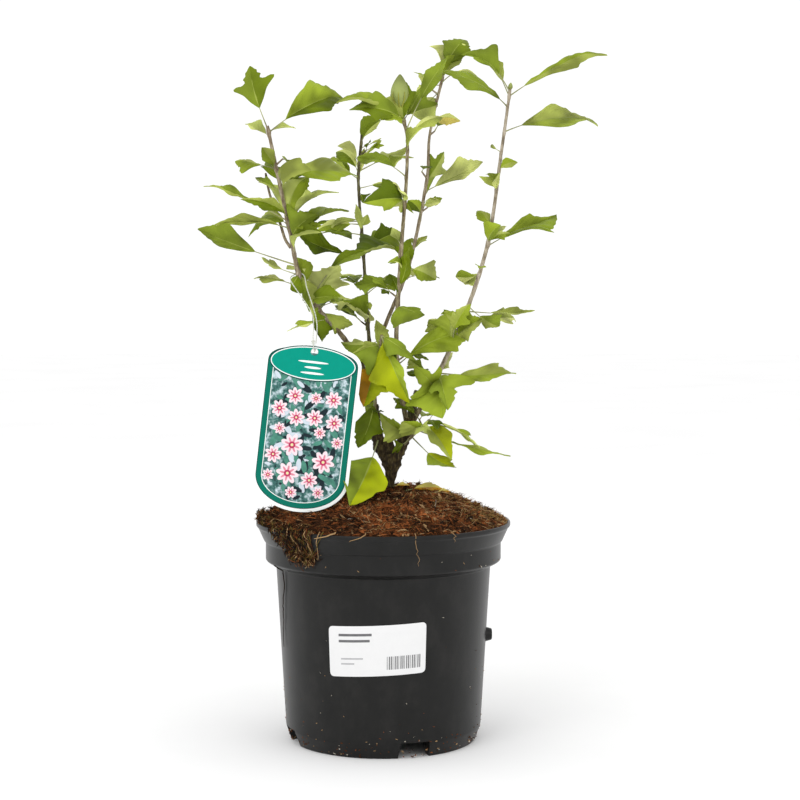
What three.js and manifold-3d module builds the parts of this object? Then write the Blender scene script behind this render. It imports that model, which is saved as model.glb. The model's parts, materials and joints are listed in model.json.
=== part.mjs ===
// A young hibiscus shrub in its round nursery pot, with the soil that it stands on, a label on the pot
// and a picture tag that hangs from one shoot by a string.
//
// Units are millimetres and +Z is up. The origin is the middle of the pot's flat underside. The side
// with the label and the tag faces -Y. A heading is an angle seen from above: 0 is +X and 90 is +Y.

import * as THREE from "three";
import { mergeVertices } from "three/addons/utils/BufferGeometryUtils.js";
import Module from "manifold-3d";

const wasm = await Module();
wasm.setup();

// Clear space between two pieces that rest on each other
const GAP = 0.3;

// The pot, a moulded container of about 3 litres
const POT = {
  rimRadius: 95,
  rimHeight: 163.7,
  collarRadius: 88,
  collarTop: 149,
  collarFoot: 135,
  bodyTopRadius: 80.2,
  bodyTop: 131,
  bodyFootRadius: 73.2,
  bodyFoot: 11,
  footRadius: 69.3,
  footRingInside: 60,
  padRadius: 18,
  wall: 2,
  hollow: 12.4,
  floorTop: 14.4,
  sides: 32,
};
const DRAIN = { width: 24, height: 11.8, headings: [-71, 19, 109, 199] };
const KNOB = { radius: 4.5, proud: 3, height: 78 };

// The soil rises in a low dome to a flat spot that the trunk stands on.
const SOIL = { edgeHeight: 165, edgeRadius: 90, rise: 23.4, flatRadius: 13, rings: 6 };

// The label glued to the pot's front, and the tag on its string
const LABEL = { fromHeading: -120, toHeading: -67, height: 36, middle: 80, corner: 3, thick: 0.5 };
const TAG = { width: 66, length: 121, thick: 0.6, tilt: 6.6, hole: 2, holeDrop: 6 };
const TAG_HOLE = new THREE.Vector3(-48.6, -55, 291.6);
const STRING = { radius: 0.45, hookHeight: 348, hookRadius: 3.8 };

// The limbs. Each leaves its parent's middle line at the height `from` and goes through its knots, each
// [x, y, z], to its tip, with smooth bends. `foot` and `tip` are its radii there. The trunk parts into
// two arms, and five shoots and two cut stubs grow up from the arms.
const TRUNK = { knots: [[5, 0, 188.7], [6.2, 0, 200], [5.5, 0, 214]], radius: 3.4, flare: 2.6, crotch: 1.9 };
const ARMS = {
  left_arm: { parent: "trunk", from: 206, knots: [[-3, 0, 221], [-8, 2, 250]], foot: 4.2, tip: 4 },
  right_arm: { parent: "trunk", from: 206, knots: [[13, 0, 218], [20, -2, 240]], foot: 3.9, tip: 3.7 },
};
const STUBS = {
  left_stub: { parent: "left_arm", from: 238, knots: [[-21, 18, 296]], foot: 2.4, tip: 2.6 },
  right_stub: { parent: "right_arm", from: 232, knots: [[26, 6, 260]], foot: 2.9, tip: 2.9 },
};

// A shoot's part below its `leafy` height is a bare bough, and the rest is the stem of a mass of
// foliage. A low twig is leafy from its foot on. `spurs` counts a shoot's seeded side twigs.
const SHOOTS = {
  left: {
    parent: "left_arm", from: 240,
    knots: [[-25, -6, 294], [-57, -13, 334], [-69, -17, 383], [-84, -24, 455]],
    foot: 2.5, tip: 1.5, leafy: 309, spurs: 5, seed: 11,
  },
  fourth: {
    parent: "left_arm", from: 236,
    knots: [[-5, 13, 289], [19, 22, 354], [33, 29, 421], [35, 32, 453], [45, 35, 498]],
    foot: 2.1, tip: 1.2, leafy: 336, spurs: 6, seed: 24,
  },
  second: {
    parent: "left_arm", from: 228,
    knots: [[-11, 30, 297], [-16, 45, 370], [-19.5, 50, 420], [-17, 53, 455]],
    foot: 2, tip: 1.2, leafy: 302, spurs: 6, seed: 35,
  },
  third: {
    parent: "right_arm", from: 233,
    knots: [[10, -8, 287], [12.5, -13, 351], [18, -19, 443], [12.5, -20, 470]],
    foot: 2.4, tip: 1.3, leafy: 277, spurs: 6, seed: 46,
  },
  right: {
    parent: "right_arm", from: 224,
    knots: [[52, -3, 297], [76, -5, 364], [88, -7, 443], [93.5, -8, 483]],
    foot: 2.4, tip: 1.3, leafy: 258, spurs: 6, seed: 57,
  },
  low_left: {
    parent: "left_arm", from: 221,
    knots: [[-6, -14, 256], [-1, -21, 303]],
    foot: 1.3, tip: 1, leafy: 0, spurs: 2, seed: 68,
  },
  low_right: {
    parent: "right_arm", from: 217,
    knots: [[23, -10, 229], [34, -16, 240]],
    foot: 1.3, tip: 1, leafy: 0, spurs: 2, seed: 79,
  },
};

// The leaves that show clearest, by shoot: the height each leaves its shoot at, its heading, its rise
// above the level, its reach from shoot to tip, and its lean, which turns its face from the sky (0)
// towards the viewer (90). A negative lean shows its pale underside.
const NAMED_LEAVES = {
  left: [
    [455, 211, 72, 51, 80], [452, 12, 23, 66, 60], [449, 168, 15, 25, 20], [451, 32, 7, 24, 20],
    [424, 228, 47, 20, 60], [422, 191, 12, 31, 30], [419, -14, 2, 52, 60], [386, 186, 21, 67, 15],
    [386, 24, 62, 34, 40], [383, 6, 34, 46, 5], [378, -10, 16, 48, 25], [380, 172, 2, 60, 30],
    [356, 186, 17, 84, 50], [336, 168, 12, 41, 10], [326, -20, 60, 33, -70], [322, -17, 0, 32, 20],
    [322, 200, -15, 37, 20], [314, 200, -21, 36, 40],
  ],
  second: [
    [452, 29, 47, 26, 40], [434, 197, 22, 30, 40], [424, 152, 38, 28, 10], [440, 21, 36, 22, 30],
    [416, 20, 25, 26, 30], [392, 200, -8, 32, -60], [386, 169, -9, 34, 30], [364, 187, 12, 50, 40],
    [366, -17, 31, 34, 40], [345, 198, 0, 25, 20], [330, -20, 20, 24, 30], [312, 210, 35, 27, 30],
  ],
  third: [
    [458, 190, 17, 50, 45], [456, 215, -20, 26, 60], [415, 186, 15, 42, 30], [402, 213, 43, 28, 50],
    [399, 198, 2, 34, 60], [438, -32, 50, 24, 30], [363, 157, -32, 20, 20], [344, 203, 20, 26, 30],
    [326, 203, 48, 24, 20], [322, -23, -13, 26, 30], [283, -16, 46, 53, 60],
  ],
  fourth: [
    [497, 20, 52, 38, 60], [497, 160, 60, 36, 40], [494, -30, 12, 32, 50], [490, 208, -41, 30, 60],
    [462, -16, 3, 24, 50], [470, 200, -10, 24, 30], [420, 25, 58, 28, 40], [413, -11, 10, 52, -50],
    [402, -5, 5, 20, 20], [360, 34, 46, 26, 10], [350, -29, -31, 28, 75],
  ],
  right: [
    [482, 192, 43, 42, 70], [483, 136, 70, 34, 60], [470, 190, 28, 53, 30], [478, 5, 25, 76, 12],
    [452, -7, -2, 78, -35], [440, 170, 18, 23, 0], [414, -25, 15, 20, 30], [384, 155, 58, 22, 20],
    [368, -8, 21, 60, 45], [385, 28, 10, 26, 10], [346, 156, 3, 24, 20], [302, 215, 62, 38, -60],
    [320, -9, 6, 54, 25], [311, 4, -9, 60, 5], [302, -25, 30, 36, 60], [280, -14, -1, 60, 45],
    [270, -60, -48, 38, 85], [266, 152, 39, 24, 20],
  ],
  low_left: [
    [301, -34, -67, 57, 95], [296, 205, -5, 34, 70], [280, 219, -44, 36, 85], [272, -40, 20, 28, 50],
    [256, 208, -62, 42, 80], [230, 250, -42, 62, 75],
  ],
  low_right: [
    [229, 211, -16, 27, 50], [236, -30, -44, 40, 60], [238, 7, -18, 40, 10], [239, -6, -28, 68, 5],
    [228, -18, -38, 46, 40],
  ],
};

// A leaf is a stalk with a folded, arching blade that has a lobe on each side. Its outline is given by
// half-widths, each a share of the leaf's reach, at shares of the way from its foot to its tip.
const LEAF = {
  along: [0, 0.22, 0.44, 0.58, 0.69, 1],
  halfWidth: [0, 0, 0.21, 0.29, 0.16, 0],
  stalk: 0.7,
  thick: 1.3,
  arch: 0.07,
  fold: 24,
};

// Side twigs turn by the golden angle from one to the next, and each ends in two small leaves.
const SPUR = { turn: 137.5, length: 7, radius: 0.8, spread: 38, leafReach: 17, farReach: 16 };

// Each mass keeps this far from every other mass and limb, measured between points set on them.
const OWN_SPACE = 4;

const AWAY = new THREE.Vector3(0, 1, 0);
const radians = THREE.MathUtils.degToRad;

const BLACK_PLASTIC = new THREE.MeshStandardMaterial({ color: 0x2b2b2d, roughness: 0.55 });
const EARTH = new THREE.MeshStandardMaterial({ color: 0x5a3d28, roughness: 0.95 });
const WHITE_PAPER = new THREE.MeshStandardMaterial({ color: 0xf2f2f0, roughness: 0.6 });
const GREEN_CARD = new THREE.MeshStandardMaterial({ color: 0x0f7a66, roughness: 0.35 });
const WHITE_STRING = new THREE.MeshStandardMaterial({ color: 0xececea, roughness: 0.8 });
const BARK = new THREE.MeshStandardMaterial({ color: 0x6b5640, roughness: 0.9 });
const FOLIAGE = new THREE.MeshStandardMaterial({ color: 0x6d8f24, roughness: 0.6 });

const shrub = new THREE.Group();

function addPiece(name, geometry, material) {
  const mesh = new THREE.Mesh(geometry, material);
  mesh.name = name;
  shrub.add(mesh);
  return mesh;
}

// Solids for joining and cutting

function toSolid(geometry) {
  const bare = geometry.index ? geometry.clone() : geometry;
  bare.deleteAttribute("normal");
  bare.deleteAttribute("uv");
  const merged = mergeVertices(bare, 1e-4);
  return new wasm.Manifold(
    new wasm.Mesh({
      numProp: 3,
      vertProperties: new Float32Array(merged.attributes.position.array),
      triVerts: new Uint32Array(merged.index.array),
    }),
  );
}

function toGeometry(solid) {
  const mesh = solid.getMesh();
  const geometry = new THREE.BufferGeometry();
  geometry.setAttribute("position", new THREE.BufferAttribute(mesh.vertProperties, 3));
  geometry.setIndex(new THREE.BufferAttribute(mesh.triVerts, 1));
  geometry.computeVertexNormals();
  return geometry;
}

// Moves each vertex of a geometry to where `place` maps it.
function bend(geometry, place) {
  const positions = geometry.attributes.position;
  const vertex = new THREE.Vector3();
  for (let i = 0; i < positions.count; i += 1) {
    const moved = place(vertex.fromBufferAttribute(positions, i).clone());
    positions.setXYZ(i, moved.x, moved.y, moved.z);
  }
  return geometry;
}

// Pot and soil

function turned(profile) {
  const points = profile.map(([radius, height]) => new THREE.Vector2(radius, height));
  return new THREE.LatheGeometry(points, POT.sides).rotateX(Math.PI / 2);
}

function bodyRadius(height) {
  const share = (height - POT.bodyFoot) / (POT.bodyTop - POT.bodyFoot);
  return THREE.MathUtils.lerp(POT.bodyFootRadius, POT.bodyTopRadius, share);
}

function makePot() {
  const wall = POT.wall;
  let pot = toSolid(turned([
    [0, 0],
    [POT.padRadius, 0],
    [POT.padRadius + 1, POT.hollow],
    [POT.footRingInside - 1, POT.hollow],
    [POT.footRingInside, 0],
    [POT.footRadius, 0],
    [POT.bodyFootRadius, POT.bodyFoot],
    [POT.bodyTopRadius, POT.bodyTop],
    [POT.collarRadius, POT.collarFoot],
    [POT.collarRadius, POT.collarTop],
    [POT.rimRadius, POT.rimHeight],
    [POT.rimRadius - wall, POT.rimHeight],
    [POT.collarRadius - wall, POT.collarTop + 1],
    [POT.collarRadius - wall, POT.collarFoot + wall],
    [POT.bodyTopRadius - wall, POT.bodyTop + wall],
    [bodyRadius(POT.floorTop) - wall, POT.floorTop],
    [0, POT.floorTop],
  ]));
  const slotDepth = 30;
  for (const heading of DRAIN.headings) {
    const slot = new THREE.BoxGeometry(slotDepth, DRAIN.width, 2 * DRAIN.height);
    slot.translate(POT.footRadius, 0, 0);
    slot.rotateZ(radians(heading));
    pot = pot.subtract(toSolid(slot));
  }
  const sunk = 1.5;
  const knob = new THREE.CylinderGeometry(KNOB.radius * 0.7, KNOB.radius, KNOB.proud + sunk, 12);
  knob.rotateZ(-Math.PI / 2);
  knob.translate(bodyRadius(KNOB.height) + (KNOB.proud - sunk) / 2, 0, KNOB.height);
  return toGeometry(pot.add(toSolid(knob)));
}

function soilHeight(radius) {
  const share = Math.min(radius / SOIL.edgeRadius, 1);
  return SOIL.edgeHeight + SOIL.rise * (1 - share * share) ** 0.7;
}

function makeSoil() {
  const inset = POT.wall + GAP;
  const profile = [
    [0, POT.floorTop + GAP],
    [bodyRadius(POT.floorTop) - inset, POT.floorTop + GAP],
    [POT.bodyTopRadius - inset, POT.bodyTop + POT.wall + GAP / 2],
    [POT.collarRadius - inset, POT.collarFoot + POT.wall + GAP / 2],
    [POT.collarRadius - inset, POT.collarTop + 1],
    [POT.rimRadius - inset - 0.5, POT.rimHeight - 1],
  ];
  for (let ring = SOIL.rings; ring > 0; ring -= 1) {
    const radius = THREE.MathUtils.lerp(SOIL.flatRadius, SOIL.edgeRadius, ring / SOIL.rings);
    profile.push([radius, soilHeight(radius)]);
  }
  const top = SOIL.edgeHeight + SOIL.rise;
  profile.push([SOIL.flatRadius, top], [0, top]);
  return turned(profile);
}

// Label, tag and string

// How far the label's top edge lies above its middle, at a distance in from its nearest end
function labelHalfHeight(inFromEnd) {
  const { height, corner } = LABEL;
  const short = Math.max(corner - inFromEnd, 0);
  return height / 2 - corner + Math.sqrt(corner * corner - short * short);
}

function makeLabel() {
  const columns = 16;
  const sheet = new THREE.BoxGeometry(1, LABEL.thick, 1, columns, 1, 1);
  const arc = radians(LABEL.toHeading - LABEL.fromHeading);
  const width = arc * bodyRadius(LABEL.middle);
  return bend(sheet, (vertex) => {
    // The columns crowd towards both ends, so that the round corners have enough of them.
    const share = 0.5 - 0.5 * Math.cos(Math.PI * (vertex.x + 0.5));
    const height = LABEL.middle + 2 * vertex.z * labelHalfHeight(width * Math.min(share, 1 - share));
    const radius = bodyRadius(height) + GAP + LABEL.thick / 2 - vertex.y;
    const heading = radians(LABEL.fromHeading) + arc * share;
    return new THREE.Vector3(radius * Math.cos(heading), radius * Math.sin(heading), height);
  });
}

function makeTag() {
  const half = TAG.width / 2;
  const shoulder = 15;
  const bottomArc = 25;
  const outline = new THREE.Shape();
  outline.absellipse(0, bottomArc - TAG.length, half, bottomArc, Math.PI, 2 * Math.PI, false);
  outline.lineTo(half, -shoulder);
  outline.quadraticCurveTo(half, -5, half - 13, -2.5);
  outline.quadraticCurveTo(0, 2.5, 13 - half, -2.5);
  outline.quadraticCurveTo(-half, -5, -half, -shoulder);
  const hole = new THREE.Path();
  hole.absarc(0, -TAG.holeDrop, TAG.hole, 0, 2 * Math.PI, true);
  outline.holes.push(hole);
  const card = new THREE.ExtrudeGeometry(outline, {
    depth: TAG.thick,
    bevelEnabled: false,
    curveSegments: 8,
  });
  card.translate(0, TAG.holeDrop, -TAG.thick / 2);
  return card.rotateX(Math.PI / 2);
}

// The string's way through the tag's hole, up on both sides of it and round the shoot at `hook`
function stringLoop(hook) {
  const nearHole = [[0.4, 1.3, 2], [0, 0, 0], [-0.6, -1.6, 3.5], [-1, -1.4, 9], [-2.2, 12, 26]];
  const roundShoot = [[-5, -12, -5], [-STRING.hookRadius, -1, -1.5], [0, STRING.hookRadius, 0],
    [STRING.hookRadius, -1, -1], [7, -14, -11]];
  const backDown = [[1.2, 9, 21], [0.9, 1.9, 6]];
  const from = (origin) => (offset) => new THREE.Vector3(...offset).add(origin);
  return new THREE.CatmullRomCurve3([
    ...nearHole.map(from(TAG_HOLE)),
    ...roundShoot.map(from(hook)),
    ...backDown.map(from(TAG_HOLE)),
  ], true);
}

function makeString(loop) {
  return new THREE.TubeGeometry(loop, 60, STRING.radius, 5, true);
}

// Limbs

// A limb's middle line, which climbs evenly from its lowest knot to its highest
class LimbLine extends THREE.Curve {
  constructor(knots) {
    super();
    this.knots = knots.map((knot) => new THREE.Vector3(...knot));
    this.foot = this.knots[0].z;
    this.top = this.knots.at(-1).z;
  }

  // The change in x and y for each millimetre climbed, at one knot
  slope(index) {
    const before = this.knots[Math.max(index - 1, 0)];
    const after = this.knots[Math.min(index + 1, this.knots.length - 1)];
    return after.clone().sub(before).divideScalar(after.z - before.z);
  }

  atHeight(height) {
    const last = this.knots.length - 2;
    const above = this.knots.findIndex((knot) => knot.z > height);
    const index = above < 0 ? last : Math.max(above - 1, 0);
    const from = this.knots[index];
    const to = this.knots[index + 1];
    const span = to.z - from.z;
    const t = (height - from.z) / span;
    return from.clone().multiplyScalar(1 - t * t * (3 - 2 * t))
      .addScaledVector(to, t * t * (3 - 2 * t))
      .addScaledVector(this.slope(index), span * t * (1 - t) * (1 - t))
      .addScaledVector(this.slope(index + 1), -span * t * t * (1 - t))
      .setZ(height);
  }

  getPoint(t, target = new THREE.Vector3()) {
    return target.copy(this.atHeight(THREE.MathUtils.lerp(this.foot, this.top, t)));
  }
}

// A tapering limb along a line between two heights, closed by a flat cut at each end
function makeLimb(line, from, to, radiusAt, sides = 8) {
  const steps = Math.max(2, Math.round((to - from) / 12));
  const round = new THREE.CylinderGeometry(1, 1, 1, sides, steps);
  return toSolid(bend(round, (vertex) => {
    const height = THREE.MathUtils.lerp(from, to, vertex.y + 0.5);
    const middle = line.atHeight(height);
    const tangent = line.atHeight(height + 0.5).sub(line.atHeight(height - 0.5)).normalize();
    const side = new THREE.Vector3().crossVectors(AWAY, tangent).normalize();
    const front = new THREE.Vector3().crossVectors(side, tangent);
    const radius = radiusAt(height);
    return middle.addScaledVector(side, vertex.x * radius).addScaledVector(front, vertex.z * radius);
  }));
}

function taper(line, limb) {
  return (height) => {
    const share = (height - line.foot) / (line.top - line.foot);
    return THREE.MathUtils.lerp(limb.foot, limb.tip, share);
  };
}

// The trunk flares at the soil and thickens again where it forks.
function trunkRadius(height) {
  const foot = TRUNK.knots[0][2];
  const top = TRUNK.knots.at(-1)[2];
  const flare = TRUNK.flare * Math.exp(-(height - foot) / 3.5);
  const crotch = TRUNK.crotch * Math.exp(-(top - height) / 5);
  return TRUNK.radius + flare + crotch;
}

// Leaves

// Repeatable numbers from 0 to 1
function seededNumbers(seed) {
  let state = seed;
  return () => {
    state = (state * 16807) % 2147483647;
    return state / 2147483647;
  };
}

function direction(heading, rise) {
  const level = Math.cos(radians(rise));
  return new THREE.Vector3(
    level * Math.cos(radians(heading)),
    level * Math.sin(radians(heading)),
    Math.sin(radians(rise)),
  );
}

// A leaf's own frame: its foot on the shoot, the straight way to its tip, and how its face lies
function leafFrame(foot, heading, rise, reach, lean) {
  const way = direction(heading, rise);
  const face = new THREE.Vector3(0, -Math.sin(radians(lean)), Math.cos(radians(lean)));
  face.addScaledVector(way, -face.dot(way)).normalize();
  const side = new THREE.Vector3().crossVectors(way, face);
  return { foot, way, face, side, reach };
}

// A point of the leaf: `share` runs from its foot to its tip, `across` to the right and left of its
// middle line, and `above` lifts it off its face.
function leafPoint(leaf, share, across = 0, above = 0) {
  const { foot, way, face, side, reach } = leaf;
  const lift = reach * LEAF.arch * 4 * share * (1 - share);
  const fold = radians(LEAF.fold);
  return foot.clone()
    .addScaledVector(way, reach * share)
    .addScaledVector(side, across * Math.cos(fold))
    .addScaledVector(face, lift + Math.abs(across) * Math.sin(fold) + above);
}

// The half-width of a leaf at a share of its way, in millimetres
function halfWidthAt(leaf, share) {
  const above = Math.max(LEAF.along.findIndex((place) => place >= share), 1);
  const from = LEAF.along[above - 1];
  const between = (share - from) / (LEAF.along[above] - from);
  const width = THREE.MathUtils.lerp(LEAF.halfWidth[above - 1], LEAF.halfWidth[above], between);
  return Math.max(width * leaf.reach, LEAF.stalk);
}

// A four-sided cone, flattened and spread: two of its edges run along the middle, two round the outline.
function makeLeaf(leaf) {
  const parts = LEAF.along.length - 1;
  const cone = new THREE.ConeGeometry(1, 1, 4, parts);
  return toSolid(bend(cone, ({ x, y, z }) => {
    const share = LEAF.along[Math.round((y + 0.5) * parts)];
    const round = Math.hypot(x, z) || 1;
    const across = (x / round) * halfWidthAt(leaf, share);
    return leafPoint(leaf, share, across, (z / round) * LEAF.thick / 2);
  }));
}

// Points set over a leaf, for keeping it clear of other things. The foot itself is on its own shoot.
function leafMarks(leaf) {
  const marks = [];
  for (let step = 1; step <= 10; step += 1) {
    const share = step / 10;
    for (const across of [-1, -0.5, 0, 0.5, 1]) {
      marks.push(leafPoint(leaf, share, across * halfWidthAt(leaf, share)));
    }
  }
  return marks;
}

// Masses of foliage

// What stands already: points on each limb and mass, with the name of what they belong to
const taken = [];

function take(owner, marks) {
  taken.push(...marks.map((mark) => ({ owner, mark })));
}

function takeLine(owner, line, from, to) {
  for (let height = from; height <= to; height += 3) take(owner, [line.atHeight(height)]);
}

// Whether a twig or leaf of a mass stays in the mass's own space, above the soil
function isFree(owner, marks) {
  const aboveSoil = marks.every((mark) => mark.z > soilHeight(Math.hypot(mark.x, mark.y)) + 2);
  const clear = marks.every((mark) => taken.every(
    (other) => other.owner === owner || other.mark.distanceTo(mark) > OWN_SPACE,
  ));
  return aboveSoil && clear;
}

// The seeded side twigs of one shoot: each has a foot, a tip and two leaves.
function spursOf(shoot, line) {
  const next = seededNumbers(shoot.seed);
  const from = Math.max(shoot.leafy, line.foot + 12) + 6;
  const spurs = [];
  for (let index = 0; index < shoot.spurs; index += 1) {
    const height = from + (line.top - from - 4) * (index + 0.6 * next()) / shoot.spurs;
    const heading = SPUR.turn * (index + 2 * next());
    const foot = line.atHeight(height);
    const tip = foot.clone().addScaledVector(direction(heading, 35), SPUR.length * (0.7 + 0.6 * next()));
    // Leaves that point away from the viewer are longer, because more room is open there.
    const leaves = [-1, 1].map((hand) => {
      const leafHeading = heading + hand * SPUR.spread * (0.6 + 0.8 * next());
      const away = Math.max(Math.sin(radians(leafHeading)), 0);
      const reach = SPUR.leafReach * (0.75 + 0.6 * next()) + SPUR.farReach * away;
      return leafFrame(tip, leafHeading, -15 + 60 * next(), reach, 10 + 50 * next());
    });
    spurs.push({ foot, tip, leaves });
  }
  return spurs;
}

function makeTwig(foot, tip) {
  const twig = new THREE.CylinderGeometry(SPUR.radius * 0.8, SPUR.radius, 1, 4, 1);
  const way = tip.clone().sub(foot);
  twig.scale(1, way.length(), 1);
  twig.applyQuaternion(new THREE.Quaternion().setFromUnitVectors(AWAY, way.clone().normalize()));
  twig.translate(...foot.clone().lerp(tip, 0.5).toArray());
  return toSolid(twig);
}

function makeBud(tip) {
  const bud = new THREE.SphereGeometry(1, 8, 6);
  bud.rotateX(Math.PI / 2);
  bud.scale(6.5, 6.5, 12);
  bud.translate(tip.x, tip.y, tip.z + 9);
  return toSolid(bud);
}

// The pot with what lies on it

addPiece("pot", makePot(), BLACK_PLASTIC);
addPiece("soil", makeSoil(), EARTH);
addPiece("pot_label", makeLabel(), WHITE_PAPER);

// The bare limbs. Each is cut clear of the swollen copies of the limbs made before it.

const lines = { trunk: new LimbLine(TRUNK.knots) };
const swollen = {};

function lineOf({ parent, from, knots }) {
  return new LimbLine([lines[parent].atHeight(from).toArray(), ...knots]);
}

// Adds the piece of a limb up to `cutHeight`, and notes the space it takes from `openHeight` up, where
// it has come out of its parent.
function addLimb(name, { line, radiusAt, sides, cutHeight, openHeight, clearOf }) {
  const whole = makeLimb(line, line.foot, cutHeight, radiusAt, sides);
  const limb = clearOf.reduce((rest, other) => rest.subtract(swollen[other]), whole);
  addPiece(name, toGeometry(limb), BARK);
  swollen[name] = makeLimb(line, line.foot, cutHeight + GAP, (height) => radiusAt(height) + GAP, sides);
  takeLine(name, line, openHeight, cutHeight - OWN_SPACE);
}

const trunk = makeLimb(lines.trunk, lines.trunk.foot - 3, lines.trunk.top, trunkRadius, 12);
addPiece("trunk", toGeometry(trunk.trimByPlane([0, 0, 1], lines.trunk.foot)), BARK);
swollen.trunk = makeLimb(
  lines.trunk, lines.trunk.foot, lines.trunk.top + GAP, (height) => trunkRadius(height) + GAP, 12,
);
takeLine("trunk", lines.trunk, lines.trunk.foot, lines.trunk.top);

for (const [name, limb] of Object.entries({ ...ARMS, ...STUBS })) {
  lines[name] = lineOf(limb);
  addLimb(name, {
    line: lines[name],
    radiusAt: taper(lines[name], limb),
    sides: 10,
    cutHeight: lines[name].top,
    openHeight: limb.from + 6,
    clearOf: Object.keys(swollen),
  });
}

for (const [name, shoot] of Object.entries(SHOOTS)) {
  lines[name] = lineOf(shoot);
  if (shoot.leafy > shoot.from) {
    addLimb(`${name}_bough`, {
      line: lines[name],
      radiusAt: taper(lines[name], shoot),
      sides: 8,
      cutHeight: shoot.leafy - GAP,
      openHeight: shoot.from + 8,
      clearOf: Object.keys(swollen),
    });
  }
}

// The tag on its string

const tag = addPiece("tag", makeTag(), GREEN_CARD);
tag.position.copy(TAG_HOLE);
tag.rotation.y = radians(TAG.tilt);
const loop = stringLoop(lines.left.atHeight(STRING.hookHeight));
addPiece("tag_string", makeString(loop), WHITE_STRING);
take("tag_string", loop.getPoints(60));

// The masses of foliage: every stem first, then the named leaves, then the seeded twigs

const masses = {};

for (const [name, shoot] of Object.entries(SHOOTS)) {
  const line = lines[name];
  const foot = Math.max(shoot.leafy, shoot.from);
  const whole = makeLimb(line, foot, line.top, taper(line, shoot), 6);
  const stem = Object.values(swollen).reduce((rest, other) => rest.subtract(other), whole);
  masses[name] = [stem];
  takeLine(name, line, foot === shoot.from ? foot + 8 : foot, line.top);
}

function growLeaf(name, leaf) {
  const marks = leafMarks(leaf);
  if (!isFree(name, marks)) return;
  masses[name].push(makeLeaf(leaf));
  take(name, marks);
}

for (const [name, leaves] of Object.entries(NAMED_LEAVES)) {
  for (const [height, ...pose] of leaves) {
    growLeaf(name, leafFrame(lines[name].atHeight(height), ...pose));
  }
}

for (const [name, shoot] of Object.entries(SHOOTS)) {
  for (const { foot, tip, leaves } of spursOf(shoot, lines[name])) {
    if (!isFree(name, [tip])) continue;
    masses[name].push(makeTwig(foot, tip));
    leaves.forEach((leaf) => growLeaf(name, leaf));
  }
}

masses.third.push(makeBud(lines.third.getPoint(1)));

for (const [name, solids] of Object.entries(masses)) {
  addPiece(`${name}_foliage`, toGeometry(wasm.Manifold.union(solids)), FOLIAGE);
}

export default shrub;
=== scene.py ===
# A young hibiscus shrub in its round nursery pot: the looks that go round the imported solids.
#
# Points are worked out in millimetres and turned into metres when a mesh is made. +Z is up, and the side
# with the label and the tag faces -Y. A heading is an angle seen from above: 0 is +X and 90 is +Y.

import json
import math
from math import radians
from types import SimpleNamespace as Sizes

import bpy
import numpy as np
from mathutils.geometry import tessellate_polygon
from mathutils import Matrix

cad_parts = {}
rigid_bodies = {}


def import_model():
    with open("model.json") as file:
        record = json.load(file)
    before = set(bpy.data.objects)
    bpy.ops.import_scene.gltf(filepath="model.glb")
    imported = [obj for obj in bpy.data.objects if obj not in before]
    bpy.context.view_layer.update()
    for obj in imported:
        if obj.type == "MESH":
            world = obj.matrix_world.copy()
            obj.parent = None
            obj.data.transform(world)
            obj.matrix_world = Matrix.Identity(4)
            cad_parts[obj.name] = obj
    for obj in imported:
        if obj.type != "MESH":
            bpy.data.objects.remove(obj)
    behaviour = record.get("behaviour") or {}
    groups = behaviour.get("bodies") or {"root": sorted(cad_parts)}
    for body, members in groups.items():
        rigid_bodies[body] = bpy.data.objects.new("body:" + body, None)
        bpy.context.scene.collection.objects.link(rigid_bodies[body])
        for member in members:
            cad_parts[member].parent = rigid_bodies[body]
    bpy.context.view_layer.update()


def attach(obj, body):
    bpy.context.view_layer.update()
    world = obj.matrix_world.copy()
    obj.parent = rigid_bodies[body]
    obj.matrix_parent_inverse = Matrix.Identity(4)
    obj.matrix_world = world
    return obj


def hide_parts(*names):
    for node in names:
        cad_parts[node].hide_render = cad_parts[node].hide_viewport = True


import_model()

MM = 0.001
# Clearance between the pot and what lies on it or in it
GAP = 0.3
# A circle, in radians
TURN = 2 * math.pi

# The camera fits the pot's rim, body and foot in the photograph.
CAMERA = Sizes(place=(12.5, -1350.4, 332.4), pitch=3.33, lens=81.5, sensor=36)

# The pot and the soil, as in the solids. `inmost` is where a turned profile ends, short of the axis.
POT = Sizes(
    rim_radius=95, rim_height=163.7, collar_radius=88, collar_top=149, collar_foot=135,
    body_top_radius=80.2, body_top=131, body_foot_radius=73.2, body_foot=11, foot_radius=69.3,
    ring_inside=60, pad_radius=18, wall=2, hollow=12.4, floor_top=14.4, sides=192, inmost=2,
)
DRAIN = Sizes(width=24, height=11.8, depth=30, taper=1.2, headings=(-71, 19, 109, 199))
KNOB = Sizes(radius=5, proud=4.6, height=77.5)
SOIL = Sizes(edge_height=165, edge_radius=90, rise=23.4, rings=110)
# The soil has sunk a bit since it was filled in, with clods and hummocks, and has slid down on the right.
LUMPS = Sizes(sink=0.8, clods=2.6, between_clods=1.6, hummocks=1.3)
SLIDE = Sizes(middle=71, across=19, along=60, depth=6)

# The label on the pot, and the tag on its string
LABEL = Sizes(
    from_heading=-119.2, to_heading=-66.6, height=36.6, middle=79.8, climb=3.5, corner=3, thick=0.5,
)
TAG = Sizes(
    width=69.6, length=121.8, thick=0.6, tilt=6.6, hole=2, hole_drop=6, shoulder=15, bottom_arc=25,
)
TAG_HOLE = np.array([-48.6, -55, 291.6])
CAP = Sizes(middle=(0, -8.6), across=31.2, up=12.6)
PICTURE = Sizes(margin=7.1, leaves=210, petals=8)
STRING = Sizes(radius=0.45, twists=75, hook_height=348, hook_radius=3.8)

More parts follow.
